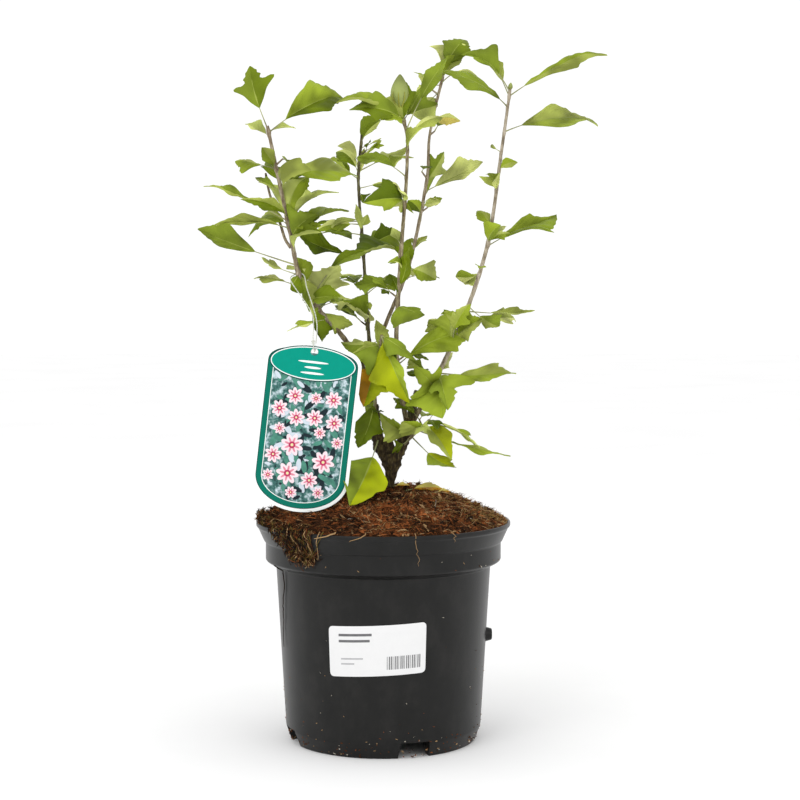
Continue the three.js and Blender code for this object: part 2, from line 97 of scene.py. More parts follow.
# The limbs. Each leaves its parent's middle line at the height `start` and goes through its knots to its
# tip. `foot` and `tip` are its radii there.
TRUNK = Sizes(knots=[(5, 0, 188.7), (6.2, 0, 200), (5.5, 0, 214)])
LIMBS = {
    "left_arm": Sizes(parent="trunk", start=206, knots=[(-3, 0, 221), (-8, 2, 250)], foot=4.2, tip=4),
    "right_arm": Sizes(parent="trunk", start=206, knots=[(13, 0, 218), (20, -2, 240)], foot=3.9, tip=3.7),
    "left_stub": Sizes(parent="left_arm", start=238, knots=[(-21, 18, 296)], foot=2.4, tip=2.6),
    "right_stub": Sizes(parent="right_arm", start=232, knots=[(26, 6, 260)], foot=2.9, tip=2.9),
}

# A shoot's part below its `leafy` height is a bare bough, and the rest is the stem of a mass of foliage.
# `spurs` counts a shoot's seeded side twigs.
SHOOTS = {
    "left": Sizes(
        parent="left_arm", start=240, bark="rosy_bark",
        knots=[(-25, -6, 294), (-57, -13, 334), (-69, -17, 383), (-84, -24, 455)],
        foot=2.5, tip=1.5, leafy=309, spurs=5, seed=11,
    ),
    "fourth": Sizes(
        parent="left_arm", start=236, bark="rosy_bark",
        knots=[(-5, 13, 289), (19, 22, 354), (33, 29, 421), (35, 32, 453), (45, 35, 498)],
        foot=2.1, tip=1.2, leafy=336, spurs=6, seed=24,
    ),
    "second": Sizes(
        parent="left_arm", start=228, bark="dark_bark",
        knots=[(-11, 30, 297), (-16, 45, 370), (-19.5, 50, 420), (-17, 53, 455)],
        foot=2, tip=1.2, leafy=302, spurs=6, seed=35,
    ),
    "third": Sizes(
        parent="right_arm", start=233, bark="brown_bark",
        knots=[(10, -8, 287), (12.5, -13, 351), (18, -19, 443), (12.5, -20, 470)],
        foot=2.4, tip=1.3, leafy=277, spurs=6, seed=46,
    ),
    "right": Sizes(
        parent="right_arm", start=224, bark="grey_bark",
        knots=[(52, -3, 297), (76, -5, 364), (88, -7, 443), (93.5, -8, 483)],
        foot=2.4, tip=1.3, leafy=258, spurs=6, seed=57,
    ),
    "low_left": Sizes(
        parent="left_arm", start=221, bark="brown_bark",
        knots=[(-6, -14, 256), (-1, -21, 303)],
        foot=1.3, tip=1, leafy=0, spurs=2, seed=68,
    ),
    "low_right": Sizes(
        parent="right_arm", start=217, bark="brown_bark",
        knots=[(23, -10, 229), (34, -16, 240)],
        foot=1.3, tip=1, leafy=0, spurs=2, seed=79,
    ),
}

# The leaves that show from the front, by shoot. A row gives the height at which the leaf leaves its
# shoot, its heading, its rise above the level, its reach from shoot to tip, and its lean, which turns its
# face from the sky (0) towards the viewer (90). Then come the tints of its left and right halves, which are
# lighter or darker to paint the light and shade on each half, and its habits in the order of HABITS, whose
# values turn a row's hundredths and degrees into shares and radians.
# A separate program fitted these rows to the photograph and picked their tints from it. Only a few of them
# were then changed.
HABITS = {
    **dict.fromkeys(("width", "uneven", "lobes", "arch", "hook", "sway", "stalk"), 0.01),
    "fold": 1, "twist": math.pi / 180,
}
LEAVES = {
    "left": [
        (451, 178, 69, 49, 86, "mid dark", 118, 8, 100, 4, 10, 14, 36, 14, 0),
        (450, 20, 24, 66, 57, "fresh dark", 107, -7, 30, 15, 118, -10, 21, 49, -12),
        (448, 157, 21, 24, 35, "white pale", 98, 41, 1, 3, 72, 17, 12, 23, -21),
        (451, 29, 8, 23, 20, "pale white", 78, -7, 1, 6, 30, -7, 13, 29, 0),
        (424, -143, 48, 20, 61, "fresh light", 123, -4, 3, 8, -55, 1, 19, 34, 7),
        (424, 167, 13, 33, 22, "fresh pale", 99, -50, 47, 1, 105, 8, 36, 4, 34),
        (420, 12, 4, 60, 55, "light fresh", 108, -3, 45, 4, 118, 5, 21, 6, 48),
        (386, -180, 21, 68, 28, "light mid", 40, 33, 46, 6, 101, 25, 41, 50, -28),
        (385, 39, 70, 38, 14, "pale fresh", 144, -17, 76, 15, 114, 11, 12, 8, -44),
        (383, -12, 33, 45, 4, "pale pale", 133, 15, 111, 15, 42, 6, 16, 22, -3),
        (378, 1, 20, 46, 30, "fresh mid", 141, -33, 32, 8, 78, -12, 24, 16, 57),
        (381, -170, 2, 56, 60, "light light", 31, 32, 30, 12, 11, 0, 14, 49, 44),
        (354, -155, 17, 81, 84, "mid mid", 54, 33, 31, -3, -58, 4, 40, 6, 47),
        (337, 158, 14, 41, 20, "light white", 90, -33, 33, 3, 96, -8, 38, 24, -2),
        (324, -15, 69, 35, -65, "white white", 149, 6, 82, 11, 102, -23, 13, 14, -23),
        (322, -17, 9, 30, -17, "white mid", 142, 51, 148, 10, -59, 18, 33, 28, -51),
        (320, -108, -20, 23, -2, "mid pale", 58, -12, 44, 22, 20, -24, 15, 50, -1),
        (314, -160, -20, 31, 42, "white fresh", 64, 34, 121, 9, 46, 20, 29, 4, -50),
        (422, -36, -9, 28, 81, "light light", 145, 4, 30, 21, 118, -23, 12, 13, 40),
        (373, -32, 47, 28, 63, "mid dark", 145, -39, 78, 16, 100, 17, 14, 9, -25),
        (362, -42, 35, 31, 27, "dark pale", 149, -8, 35, 23, 118, 0, 13, 48, -49),
        (389, -148, 25, 38, 72, "dark light", 63, 4, 39, 24, 115, -11, 12, 51, 54),
        (408, 160, 20, 25, 27, "light mid", 86, 5, 72, 4, 6, 25, 22, 22, 4),
        (382, 127, 8, 37, 49, "mid light", 130, -47, 38, 24, 103, -15, 12, 10, 26),
        (347, -124, -37, 16, 99, "dark mid", 149, -51, 6, 8, -5, -13, 12, 13, 36),
        (336, 122, 73, 26, 45, "deep fresh", 100, 49, 6, 7, 85, -14, 13, 23, 30),
        (328, 25, 44, 59, 31, "dark mid", 68, 28, 30, 12, 48, 23, 41, 34, -25),
        (327, -43, -73, 31, 18, "dark deep", 118, -56, 39, -4, -56, -2, 14, 21, 57),
        (322, 13, -27, 30, 49, "light light", 95, 50, 38, -3, 103, -17, 23, 21, -51),
        (329, -37, 3, 27, 78, "dark mid", 120, -10, 6, 10, 111, -4, 12, 29, 44),
        (349, -4, -63, 30, 39, "light mid", 79, -26, 30, 3, 90, 21, 14, 25, -44),
        (347, -168, 22, 30, 24, "pale pale", 93, -4, 63, -4, -29, 15, 42, 5, 18),
        (351, 117, -2, 15, -40, "pale white", 84, -11, 5, 12, 6, -17, 13, 12, -13),
    ],
    "second": [
        (448, 15, 52, 27, 16, "dark dark", 116, -35, 0, 12, -58, -4, 13, 29, -24),
        (434, -139, 33, 24, 44, "white white", 103, 50, 5, 8, 74, -8, 20, 43, 20),
        (421, 153, 34, 30, 21, "fresh fresh", 146, -7, 33, -1, 8, 2, 30, 52, -51),
        (437, 6, 36, 22, 24, "white fresh", 146, 43, 26, -4, -38, -6, 15, 26, 55),
        (414, -1, 16, 25, 41, "white mid", 113, 51, 48, -3, -54, 20, 42, 7, 57),
        (390, -149, -12, 27, -63, "pale white", 58, 12, 1, 10, 29, 2, 12, 35, -38),
        (386, -164, -5, 35, 37, "fresh white", 100, -20, 33, 6, 115, 3, 24, 5, 3),
        (362, -176, 13, 54, 34, "deep dark", 80, 26, 34, -4, -52, 24, 29, 19, 37),
        (364, 18, 33, 35, 61, "deep mid", 149, 19, 51, 11, 112, 11, 24, 31, -38),
        (345, -152, 0, 24, 14, "mid white", 94, 26, 54, 7, -32, 24, 26, 7, -3),
        (332, -12, 28, 30, 62, "pale mid", 98, 23, 30, 15, -56, 22, 37, 6, -39),
        (311, -168, 42, 24, 38, "white mid", 140, 55, 0, 10, 118, 4, 15, 42, 49),
        (445, -11, 25, 18, 35, "white pale", 32, 28, 22, -4, 25, 2, 41, 39, -46),
        (449, -23, 55, 23, 50, "dark pale", 67, 4, 4, 6, -4, 25, 22, 8, -5),
        (425, 150, 46, 27, 25, "dark white", 113, -16, 0, 17, 119, -2, 18, 21, 55),
        (383, -45, 53, 13, 64, "pale light", 102, 24, 20, 5, -57, -6, 23, 16, -20),
        (389, -179, -1, 36, 6, "dark deep", 44, 15, 42, -2, 116, -3, 24, 19, 39),
        (378, -145, 1, 35, 38, "dark dark", 143, -42, 152, 4, 84, 12, 27, 29, -32),
        (325, -53, -74, 20, 84, "white fresh", 55, -34, 118, 1, 120, 24, 16, 7, 13),
        (328, -163, -5, 34, 61, "white pale", 90, -12, 167, 3, -39, 21, 30, 30, -15),
        (310, -134, 41, 20, 14, "white white", 146, -54, 69, 4, -5, -18, 21, 6, -14),
        (427, 43, 23, 51, 8, "pale light", 113, 26, 155, 0, -59, 17, 34, 14, -10),
        (379, 154, 87, 23, 141, "pale pale", 52, -38, 3, 4, 47, -18, 14, 13, 45),
        (422, 47, 76, 24, 43, "white white", 50, -16, 2, -2, 48, 2, 12, 21, -45),
        (413, 59, -47, 13, 94, "deep dark", 149, -46, 122, 2, 119, 17, 32, 12, 44),
        (324, -83, -14, 12, 43, "light mid", 106, -18, 5, 24, 77, -12, 22, 43, 36),
    ],
    "third": [
        (458, -161, 17, 52, 27, "light fresh", 91, 4, 38, 12, 116, 7, 26, 32, -2),
        (459, -126, -9, 25, 77, "fresh fresh", 58, -48, 167, 17, 91, 20, 20, 28, -9),
        (418, 165, 22, 40, 27, "mid mid", 102, -20, 30, 12, -54, -8, 27, 47, 44),
        (399, -133, 40, 27, 36, "white white", 146, -58, 167, 8, 97, 6, 12, 24, -29),
        (401, -149, 2, 34, 83, "fresh deep", 123, 25, 61, 22, 101, -10, 12, 35, 0),
        (437, -44, 47, 23, 43, "light pale", 121, -15, 46, 15, 20, 4, 13, 34, 27),
        (363, 126, -39, 16, 50, "mid mid", 47, 6, 23, -4, -45, 25, 23, 4, -32),
        (345, -122, 51, 17, 22, "white mid", 111, 59, 10, 24, 86, -25, 20, 41, 55),
        (326, 142, 69, 23, 16, "deep deep", 133, -31, 28, 21, -51, -1, 31, 38, 44),
        (324, -56, -19, 28, 31, "mid mid", 149, 51, 30, 6, -39, -24, 12, 11, -20),
        (280, 14, 34, 60, 76, "fresh fresh", 76, 26, 30, 15, -28, 24, 17, 39, -14),
        (459, -162, 12, 41, 72, "dark mid", 122, 2, 31, 24, 100, -3, 13, 34, -49),
        (456, 139, 73, 32, 80, "light dark", 118, -12, 44, 18, -38, 25, 12, 12, 10),
        (452, -6, 61, 61, 61, "mid mid", 74, 8, 30, 9, -58, 5, 41, 12, 55),
        (446, 8, 26, 31, 41, "white light", 72, 48, 30, 21, 28, -20, 18, 22, -32),
        (459, 46, 24, 12, 5, "white white", 32, 45, 97, 22, 117, 24, 28, 45, 45),
        (459, 38, 53, 35, 83, "mid mid", 86, 40, 117, 6, 93, -4, 13, 5, 15),
        (368, -129, 51, 17, -11, "pale pale", 107, -15, 23, -3, 24, -1, 35, 16, -36),
        (337, -56, 55, 31, 47, "dark dark", 87, -13, 30, -3, 45, -20, 12, 11, 28),
        (362, -161, -32, 12, 26, "fresh fresh", 36, -59, 14, 1, 26, 4, 20, 9, 38),
        (339, 153, -1, 37, 61, "mid mid", 74, -14, 46, 8, -57, 4, 24, 32, 46),
        (406, 108, -55, 16, 75, "fresh white", 140, -20, 155, 7, -35, 5, 14, 31, 3),
        (431, 125, -11, 15, 26, "mid pale", 146, -39, 1, 18, 118, -17, 15, 25, -32),
    ],
    "fourth": [
        (497, 33, 58, 37, 58, "mid dark", 125, 3, 30, 20, 118, 9, 22, 21, -16),
        (496, 151, 66, 29, 4, "white white", 139, 53, 62, 15, 107, 17, 13, 51, 26),
        (492, -30, 10, 32, 12, "white white", 112, -9, 33, 16, 112, 10, 40, 10, 55),
        (486, -137, -37, 33, 91, "pale white", 144, -38, 35, -3, -57, 24, 21, 7, 50),
        (463, -29, 3, 24, 56, "white gold", 93, 51, 5, 15, 60, 5, 13, 25, -16),
        (468, 176, -6, 37, 38, "pale pale", 142, 46, 40, 13, -17, 2, 38, 39, 47),
        (418, 23, 53, 28, 103, "mid pale", 102, 14, 124, -3, 118, -7, 12, 8, -44),
        (410, -11, 15, 49, -58, "white white", 66, 48, 30, 14, -55, 24, 16, 38, 50),
        (400, -23, 8, 16, -4, "white white", 30, 13, 42, 23, 3, 22, 14, 26, -16),
        (361, 49, 44, 22, -1, "light pale", 120, -15, 136, 11, -58, 20, 28, 33, -25),
        (351, -32, -21, 26, 46, "pale fresh", 149, -25, 30, 16, -54, -8, 20, 5, -24),
        (482, 133, -43, 11, 81, "white pale", 149, 25, 29, -2, -24, -16, 13, 9, -21),
        (399, -32, 11, 17, 54, "pale white", 118, -4, 6, 6, -5, 2, 13, 29, 7),
        (388, -131, 57, 20, 37, "deep fresh", 150, 2, 9, 18, 23, -23, 36, 16, 43),
        (356, -79, 58, 21, 55, "dark dark", 124, -47, 39, 24, 38, -9, 12, 19, 7),
        (495, 15, 57, 24, 66, "fresh light", 103, -18, 5, 21, 120, 17, 13, 46, -44),
        (491, -158, -24, 22, -32, "white white", 112, -46, 153, 13, -43, -8, 15, 47, -46),
        (421, 81, -27, 21, -7, "deep mid", 128, 58, 27, 23, 103, -17, 21, 41, 42),
        (360, -152, 1, 49, 8, "light deep", 148, 28, 32, 14, 52, -6, 25, 33, 12),
        (355, 65, -40, 13, 68, "white white", 143, 50, 121, -2, 22, -24, 26, 12, 26),
    ],
    "right": [
        (481, 156, 46, 46, 43, "mid mid", 104, 39, 51, 13, 51, -24, 31, 50, 24),
        (478, 152, 65, 35, 50, "pale light", 69, 18, 30, -1, 118, -5, 36, 8, -15),
        (470, -168, 25, 58, 31, "mid mid", 73, 8, 31, 10, -5, 5, 13, 7, -1),
        (478, -5, 25, 78, 23, "fresh light", 40, 0, 34, 5, 118, -15, 16, 11, -15),
        (452, -27, -3, 78, -34, "fresh light", 91, -20, 36, 15, 53, 19, 15, 7, -36),
        (437, 126, 20, 17, 58, "light pale", 41, -5, 6, 6, 114, 25, 35, 10, 32),
        (409, -94, 32, 21, 9, "white white", 45, 38, 6, -4, -56, -14, 13, 4, -20),
        (381, 142, 50, 19, 31, "fresh light", 117, -8, 2, 14, 115, 3, 14, 16, -5),
        (368, 22, 23, 60, 37, "fresh mid", 113, 58, 34, 4, -53, 7, 17, 45, -11),
        (382, 52, -1, 23, -21, "pale white", 130, -36, 31, 0, -52, -20, 23, 4, 27),
        (347, 144, -10, 23, 64, "white fresh", 94, 14, 2, -4, 91, 21, 20, 31, 56),
        (296, -108, 54, 32, -26, "pale fresh", 119, 44, 47, -2, 116, -21, 13, 20, -17),
        (320, 3, -4, 52, 24, "light pale", 38, -8, 31, 0, -26, -23, 34, 38, -25),
        (309, 28, 0, 54, 43, "light white", 74, -2, 75, 13, 111, -24, 37, 33, -9),
        (300, -50, 31, 34, 59, "fresh light", 148, 20, 51, 4, 7, 13, 15, 40, 15),
        (274, -24, -1, 59, 60, "light fresh", 78, -6, 58, -3, 120, -11, 28, 5, 55),
        (273, -75, -37, 38, 79, "fresh mid", 136, -40, 135, 17, 73, 5, 17, 33, 11),
        (266, 151, 41, 27, 46, "light mid", 142, -40, 37, 13, -50, -1, 40, 46, 10),
        (424, -17, 31, 15, 56, "fresh light", 108, 2, 1, 15, 85, 17, 13, 19, -31),
        (410, -147, 38, 17, 74, "light light", 66, 13, 9, 12, 120, -13, 15, 15, 34),
        (371, -56, 41, 19, 57, "fresh mid", 148, -33, 2, 14, 65, 1, 12, 14, -2),
        (370, -1, 17, 19, 30, "pale fresh", 83, 37, 79, 21, -16, -20, 15, 5, -46),
        (324, -38, -32, 31, 35, "mid light", 128, -33, 30, -4, -52, -13, 40, 17, -38),
        (297, -56, 59, 34, 48, "light fresh", 150, -6, 91, 16, 108, 9, 38, 45, -25),
        (297, -156, 47, 26, 65, "light white", 145, -22, 39, -4, 29, -18, 42, 8, 32),
        (272, -66, -50, 38, 97, "fresh fresh", 149, 53, 34, 22, -59, 19, 12, 10, 15),
        (262, -111, 32, 34, 72, "fresh fresh", 142, -20, 141, 23, 101, -3, 21, 15, 11),
        (338, 114, 21, 17, 58, "white pale", 121, 60, 1, -3, 5, -22, 12, 16, 32),
        (275, 63, 20, 18, 92, "white white", 144, -60, 24, 8, -46, -5, 15, 44, -50),
    ],
    "low_left": [
        (302, -40, -60, 54, 97, "fresh lime", 84, 51, 44, 23, 111, 2, 13, 34, 9),
        (294, -142, -2, 31, 76, "mid light", 128, -56, 82, 22, 24, -23, 12, 38, 31),
        (281, -119, -53, 36, 82, "lime amber", 147, 9, 43, 23, 83, -2, 16, 26, 6),
        (277, -55, 25, 30, 58, "dark dark", 149, -53, 72, 7, -43, 21, 41, 8, -3),
        (259, -135, -80, 41, 72, "dark dark", 106, 12, 66, 4, -33, 23, 21, 10, 18),
        (225, -104, -35, 76, 55, "lime mid", 111, 9, 30, 1, 14, 10, 29, 22, 37),
        (290, 122, 84, 24, 52, "light light", 87, 53, 1, 6, -50, -6, 12, 5, -46),
        (302, -36, -33, 34, 74, "mid mid", 85, 42, 39, 22, 16, -8, 13, 16, 49),
        (299, 173, -12, 30, 39, "mid pale", 142, -39, 71, -4, -59, 24, 22, 6, -2),
        (239, 138, 41, 16, 96, "fresh fresh", 130, 40, 34, 10, -28, 3, 14, 13, 55),
    ],
    "low_right": [
        (225, -145, -24, 18, 104, "dark dark", 124, 24, 167, 11, 49, -25, 42, 10, 37),
        (236, -45, -34, 39, 67, "lime light", 86, -6, 30, 18, -1, 11, 14, 25, 34),
        (238, -2, -24, 45, 27, "fresh light", 44, -37, 152, 9, 8, 22, 35, 42, 28),
        (240, -20, -24, 45, 2, "white pale", 34, -43, 55, 4, 13, 13, 14, 4, 26),
        (227, -39, -35, 44, 61, "lime fresh", 127, 27, 63, -3, -60, -23, 42, 19, 56),
        (232, -117, 31, 23, 82, "light fresh", 137, -28, 1, 18, -58, -22, 13, 16, 33),
        (229, -156, 26, 32, 113, "light fresh", 103, -49, 34, 17, 112, 7, 17, 24, -50),
        (232, -20, -15, 72, 20, "light fresh", 18, 30, 38, -2, 19, -11, 32, 21, -20),
        (232, -53, -3, 19, 40, "pale pale", 129, 41, 126, 24, 22, 4, 19, 36, -47),
    ],
}

# The solids' rule for leaves and side twigs
LEAF = Sizes(
    along=[0, 0.22, 0.44, 0.58, 0.69, 1], half_width=[0, 0, 0.21, 0.29, 0.16, 0],
    stalk=0.7, arch=0.07, fold=24,
)
SPUR = Sizes(turn=137.5, length=7, radius=0.8, spread=38, leaf_reach=17, far_reach=16)
# The side twigs' leaves that are left out, since the photograph shows the sky there: counted up each
# shoot, two to a twig
OPEN = {
    "left": {1, 2, 3, 8}, "fourth": {2, 3, 5, 6, 8, 11}, "second": {5, 6, 7, 8, 9},
    "third": {1, 4, 5, 6, 7, 8, 9, 11}, "right": {1, 3, 5, 6, 7, 8, 10, 11},
}
# The room that each mass of foliage keeps from other things
OWN_SPACE = 1

AWAY = np.array([0.0, 1.0, 0.0])


# Small sums

def unit(vectors):
    return vectors / np.linalg.norm(vectors, axis=-1, keepdims=True)


def mix(low, high, share):
    return low + (high - low) * share


def seeded_numbers(seed):
    """Repeatable numbers from 0 to 1, in the order in which the solids draw them"""
    state = seed

    def next_number():
        nonlocal state
        state = (state * 16807) % 2147483647
        return state / 2147483647

    return next_number


def direction(heading, rise):
    level = math.cos(radians(rise))
    ahead, aside = math.cos(radians(heading)), math.sin(radians(heading))
    return np.array([level * ahead, level * aside, math.sin(radians(rise))])


def circle(count):
    """Evenly spaced angles"""
    return np.arange(count) * TURN / count


def polar(radius, angle, height):
    """Points that far from the pot's axis, in that direction and at that height"""
    return np.stack(np.broadcast_arrays(radius * np.cos(angle), radius * np.sin(angle), height), -1)


def swung(across, beside, angles):
    """The directions at those angles from `across` towards `beside`"""
    return np.multiply.outer(np.cos(angles), across) + np.multiply.outer(np.sin(angles), beside)


def waves(seed, shortest, longest, count=24):
    """A smooth uneven field, mostly from -1 to 1, made of seeded waves of those lengths"""
    rng = np.random.default_rng(seed)
    ways = unit(rng.normal(size=(count, 3)))
    pulls = ways * TURN / rng.uniform(shortest, longest, (count, 1))
    starts = rng.uniform(0, TURN, count)
    return lambda points: np.sin(points @ pulls.T + starts).sum(-1) / math.sqrt(count)


# Materials

def paint(color, factor=1):
    """A colour as a screen shows it, from 0 to 255, turned into the light that it stands for"""
    shares = [value / 255 for value in color]
    light = [s / 12.92 if s < 0.04 else ((s + 0.055) / 1.055) ** 2.4 for s in shares]
    return (*[channel * factor for channel in light], 1)


def new_material(
    name, colors, roughness, gloss, grain, stretch=(1, 1, 1), relief=0.0, relief_grain=None, detail=6,
):
    """A surface whose colours run into each other in patches about `grain` millimetres across, with a
    bump of `relief` millimetres. `stretch` makes the patches longer along an axis."""
    material = bpy.data.materials.new(name)
    material.use_nodes = True
    nodes = material.node_tree.nodes
    link = material.node_tree.links.new

    def make_node(kind, **values):
        node = nodes.new(f"ShaderNode{kind}")
        for socket, value in values.items():
            node.inputs[socket].default_value = value
        return node

    place = make_node("TexCoord")
    scaling = make_node("Mapping", Scale=[1 / (MM * grain * length) for length in stretch])
    link(place.outputs["Object"], scaling.inputs["Vector"])
    patches = make_node("TexNoise", Scale=1, Detail=detail, Roughness=0.62)
    link(scaling.outputs["Vector"], patches.inputs["Vector"])
    ramp = make_node("ValToRGB")
    stops = ramp.color_ramp.elements
    for index, color in enumerate(colors):
        position = mix(0.34, 0.66, index / (len(colors) - 1))
        stop = stops[index] if index < 2 else stops.new(position)
        stop.position = position
        stop.color = color
    link(patches.outputs["Fac"], ramp.inputs["Fac"])
    shader = nodes["Principled BSDF"]
    shader.inputs["Roughness"].default_value = roughness
    shader.inputs["Specular IOR Level"].default_value = gloss
    link(ramp.outputs["Color"], shader.inputs["Base Color"])

    if relief:
        fine = make_node("TexNoise", Scale=grain / (relief_grain or grain), Detail=8, Roughness=0.6)
        link(scaling.outputs["Vector"], fine.inputs["Vector"])
        bump = make_node("Bump", Strength=1, Distance=relief * MM)
        link(fine.outputs["Fac"], bump.inputs["Height"])
        link(bump.outputs["Normal"], shader.inputs["Normal"])
    return material


def leaf_material(name, color, roughness, gloss):
    """A leaf's skin, whose colour is uneven in patches: partly its own mottling, partly painted shade in the
    darker patches and painted highlight in the lighter ones
    """
    # The darker and lighter stops paint shade and highlight in random patches.
    colors = [paint(color, factor) for factor in (0.6, 1, 1.3)]
    return new_material(name, colors, roughness, gloss, grain=21, relief=0.12, relief_grain=1.6, detail=1.2)


def bark_material(name, colors):
    return new_material(
        name, [paint(color) for color in colors], 0.82, 0.25, grain=2.2, stretch=(1, 1, 3), relief=0.35,
        relief_grain=0.8,
    )


def flat_material(name, color, roughness, unevenness, gloss):
    """A plain finish that is only a little uneven, such as print or plastic"""
    colors = [paint(color, 1 - unevenness), paint(color)]
    return new_material(name, colors, roughness, gloss, grain=4, relief=0.01, relief_grain=0.7)


# Plain finishes: colour, roughness, unevenness and gloss
FLATS = {
    "peat_black": ((36, 24, 15), 0.95, 0.5, 0.1),
    "peat_brown": ((86, 52, 29), 0.95, 0.4, 0.1),
    "peat_rust": ((130, 74, 38), 0.95, 0.4, 0.1),
    "peat_orange": ((170, 100, 54), 0.95, 0.3, 0.1),
    "peat_straw": ((176, 142, 100), 0.9, 0.3, 0.15),
    "moss": ((104, 90, 44), 0.95, 0.5, 0.1),
    "dry_moss": ((146, 116, 68), 0.95, 0.5, 0.1),
    "grit": ((196, 188, 172), 0.8, 0.3, 0.5),
    "label_paper": ((226, 226, 226), 0.45, 0.02, 0.5),
    "label_ink": ((104, 104, 106), 0.5, 0.2, 0.5),
    "label_grey": ((176, 176, 178), 0.5, 0.1, 0.5),
    "card_white": ((242, 246, 244), 0.3, 0.02, 0.08),
    "card_green": ((8, 112, 94), 0.3, 0.05, 0.08),
    "card_edge": ((8, 66, 62), 0.3, 0.05, 0.08),
    "card_cap": ((0, 146, 126), 0.3, 0.05, 0.08),
    "card_sky": ((206, 216, 226), 0.3, 0.12, 0.08),
    "card_dark": ((34, 48, 54), 0.3, 0.3, 0.08),
    "card_leaf": ((84, 146, 128), 0.3, 0.35, 0.08),
    "card_petal": ((244, 222, 228), 0.3, 0.08, 0.08),
    "card_pink": ((226, 142, 160), 0.3, 0.15, 0.08),
    "card_crimson": ((190, 54, 100), 0.3, 0.2, 0.08),
    "card_heart": ((232, 226, 170), 0.3, 0.1, 0.08),
    "thread": ((208, 210, 200), 0.8, 0.1, 0.5),
}
# Barks: the dark, the middle and the light colour of each
BARKS = {
    "trunk_bark": ((34, 25, 14), (58, 46, 26), (94, 82, 48)),
    "dark_bark": ((48, 42, 26), (84, 78, 52), (122, 118, 84)),
    "bough_bark": ((72, 60, 42), (112, 98, 74), (154, 142, 114)),
    "brown_bark": ((80, 68, 44), (130, 118, 90), (168, 158, 128)),
    "rosy_bark": ((96, 80, 62), (136, 122, 100), (178, 166, 144)),
    "grey_bark": ((112, 100, 82), (158, 146, 126), (186, 176, 158)),
    "cut_wood": ((66, 40, 26), (112, 66, 42), (140, 92, 62)),
}
# The tints of leaf halves, and what their undersides fade towards. Deep, dark, mid, fresh, light, pale and
# white are darker and lighter copies of one green. In the table of leaves they paint the shade and light that
# fall on each half, and white is painted highlight. The seeded twigs' leaves take the darker four at random.
# Lime, gold and amber are the leaves' own yellowing.
TINTS = {
    "deep": (78, 94, 10), "dark": (100, 116, 16), "mid": (116, 132, 36), "fresh": (134, 150, 40),
    "light": (148, 158, 70), "pale": (170, 180, 94), "lime": (154, 164, 14), "gold": (204, 188, 96),
    "amber": (180, 128, 26), "white": (200, 206, 122),
}
UNDERSIDE = (186, 196, 112)

LOOKS = {
    "pot_plastic": new_material(
        "pot_plastic", [paint((14, 14, 13)), paint((19, 19, 18)), paint((28, 27, 26))], 0.34, 0.24,
        grain=16, stretch=(1, 1, 1.6), relief=0.04, relief_grain=1.2,
    ),
    "soil_dark": new_material(
        "soil_dark", [paint((30, 19, 11)), paint((70, 42, 23)), paint((128, 74, 38))], 0.95, 0.1,
        grain=11, relief=1.2, relief_grain=1.4,
    ),
    "card_night": new_material(
        "card_night", [paint((28, 40, 48)), paint((70, 116, 110)), paint((206, 220, 228))], 0.3, 0.08,
        grain=5, relief=0.01,
    ),
    "vein": leaf_material("leaf_vein", (146, 158, 70), 0.55, 0.1),
    "stalk": leaf_material("leaf_stalk", (156, 158, 112), 0.6, 0.1),
    "bud": leaf_material("bud_green", (140, 150, 86), 0.65, 0.1),
    "bud_foot": leaf_material("bud_foot", (142, 144, 62), 0.65, 0.1),
}
for name, finish in FLATS.items():
    LOOKS[name] = flat_material(name, *finish)
for name, colors in BARKS.items():
    LOOKS[name] = bark_material(name, colors)
for tint, color in TINTS.items():
    paler = [mix(channel, pale, 0.25) for channel, pale in zip(color, UNDERSIDE)]
    LOOKS[tint] = leaf_material(f"leaf_{tint}", color, 0.5, 0.1)
    LOOKS[f"{tint}_under"] = leaf_material(f"leaf_{tint}_under", paler, 0.65, 0.08)
LEAF_LOOKS = [*TINTS, *[f"{tint}_under" for tint in TINTS], "vein", "stalk", "bud", "bud_foot"]


# Meshes

class Shell:
    """The faces of one piece as they are gathered, each with the number of its look"""

    def __init__(self, *looks):
        self.looks = looks
        self.points = []
        self.faces = []
        self.numbers = []
        self.count = 0

    def add(self, points, faces, look):
        """`look` is one look's name, or an array with each face's place in the piece's list of looks."""
        points = np.asarray(points, float).reshape(-1, 3)
        number = self.looks.index(look) if isinstance(look, str) else look
        self.points.append(points)
        self.faces.extend((np.asarray(faces) + self.count).tolist())
        self.numbers.extend(np.broadcast_to(number, len(faces)).tolist())
        self.count += len(points)

    def piece(self, name, slot, replaces=(), sharp=48):
        mesh = bpy.data.meshes.new(name)
        mesh.from_pydata(np.concatenate(self.points) * MM, [], self.faces)
        for look in self.looks:
            mesh.materials.append(LOOKS[look])
        mesh.polygons.foreach_set("material_index", self.numbers)
        mesh.shade_smooth()
        mesh.set_sharp_from_angle(angle=radians(sharp))
        piece = bpy.data.objects.new(name, mesh)
        bpy.context.scene.collection.objects.link(piece)
        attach(piece, "root")
        for node in replaces:
            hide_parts(node)
        return piece


def grid_faces(rows, columns, ring=False):
    """The corners of each face of a grid of points, whose columns may close into a ring"""
    numbers = np.arange(rows * columns).reshape(rows, columns)
    if ring:
        numbers = np.hstack([numbers, numbers[:, :1]])
    corners = [numbers[:-1, :-1], numbers[:-1, 1:], numbers[1:, 1:], numbers[1:, :-1]]
    return np.stack(corners, -1).reshape(-1, 4)


def add_cap(shell, ring, look, upward=True):
    """Closes a ring of points with a fan of faces round its middle."""
    count = len(ring)
    numbers = np.arange(count)
    after = np.roll(numbers, -1)
    fan = [numbers, after] if upward else [after, numbers]
    shell.add(np.vstack([ring, ring.mean(0)]), np.stack([*fan, np.full(count, count)], -1), look)


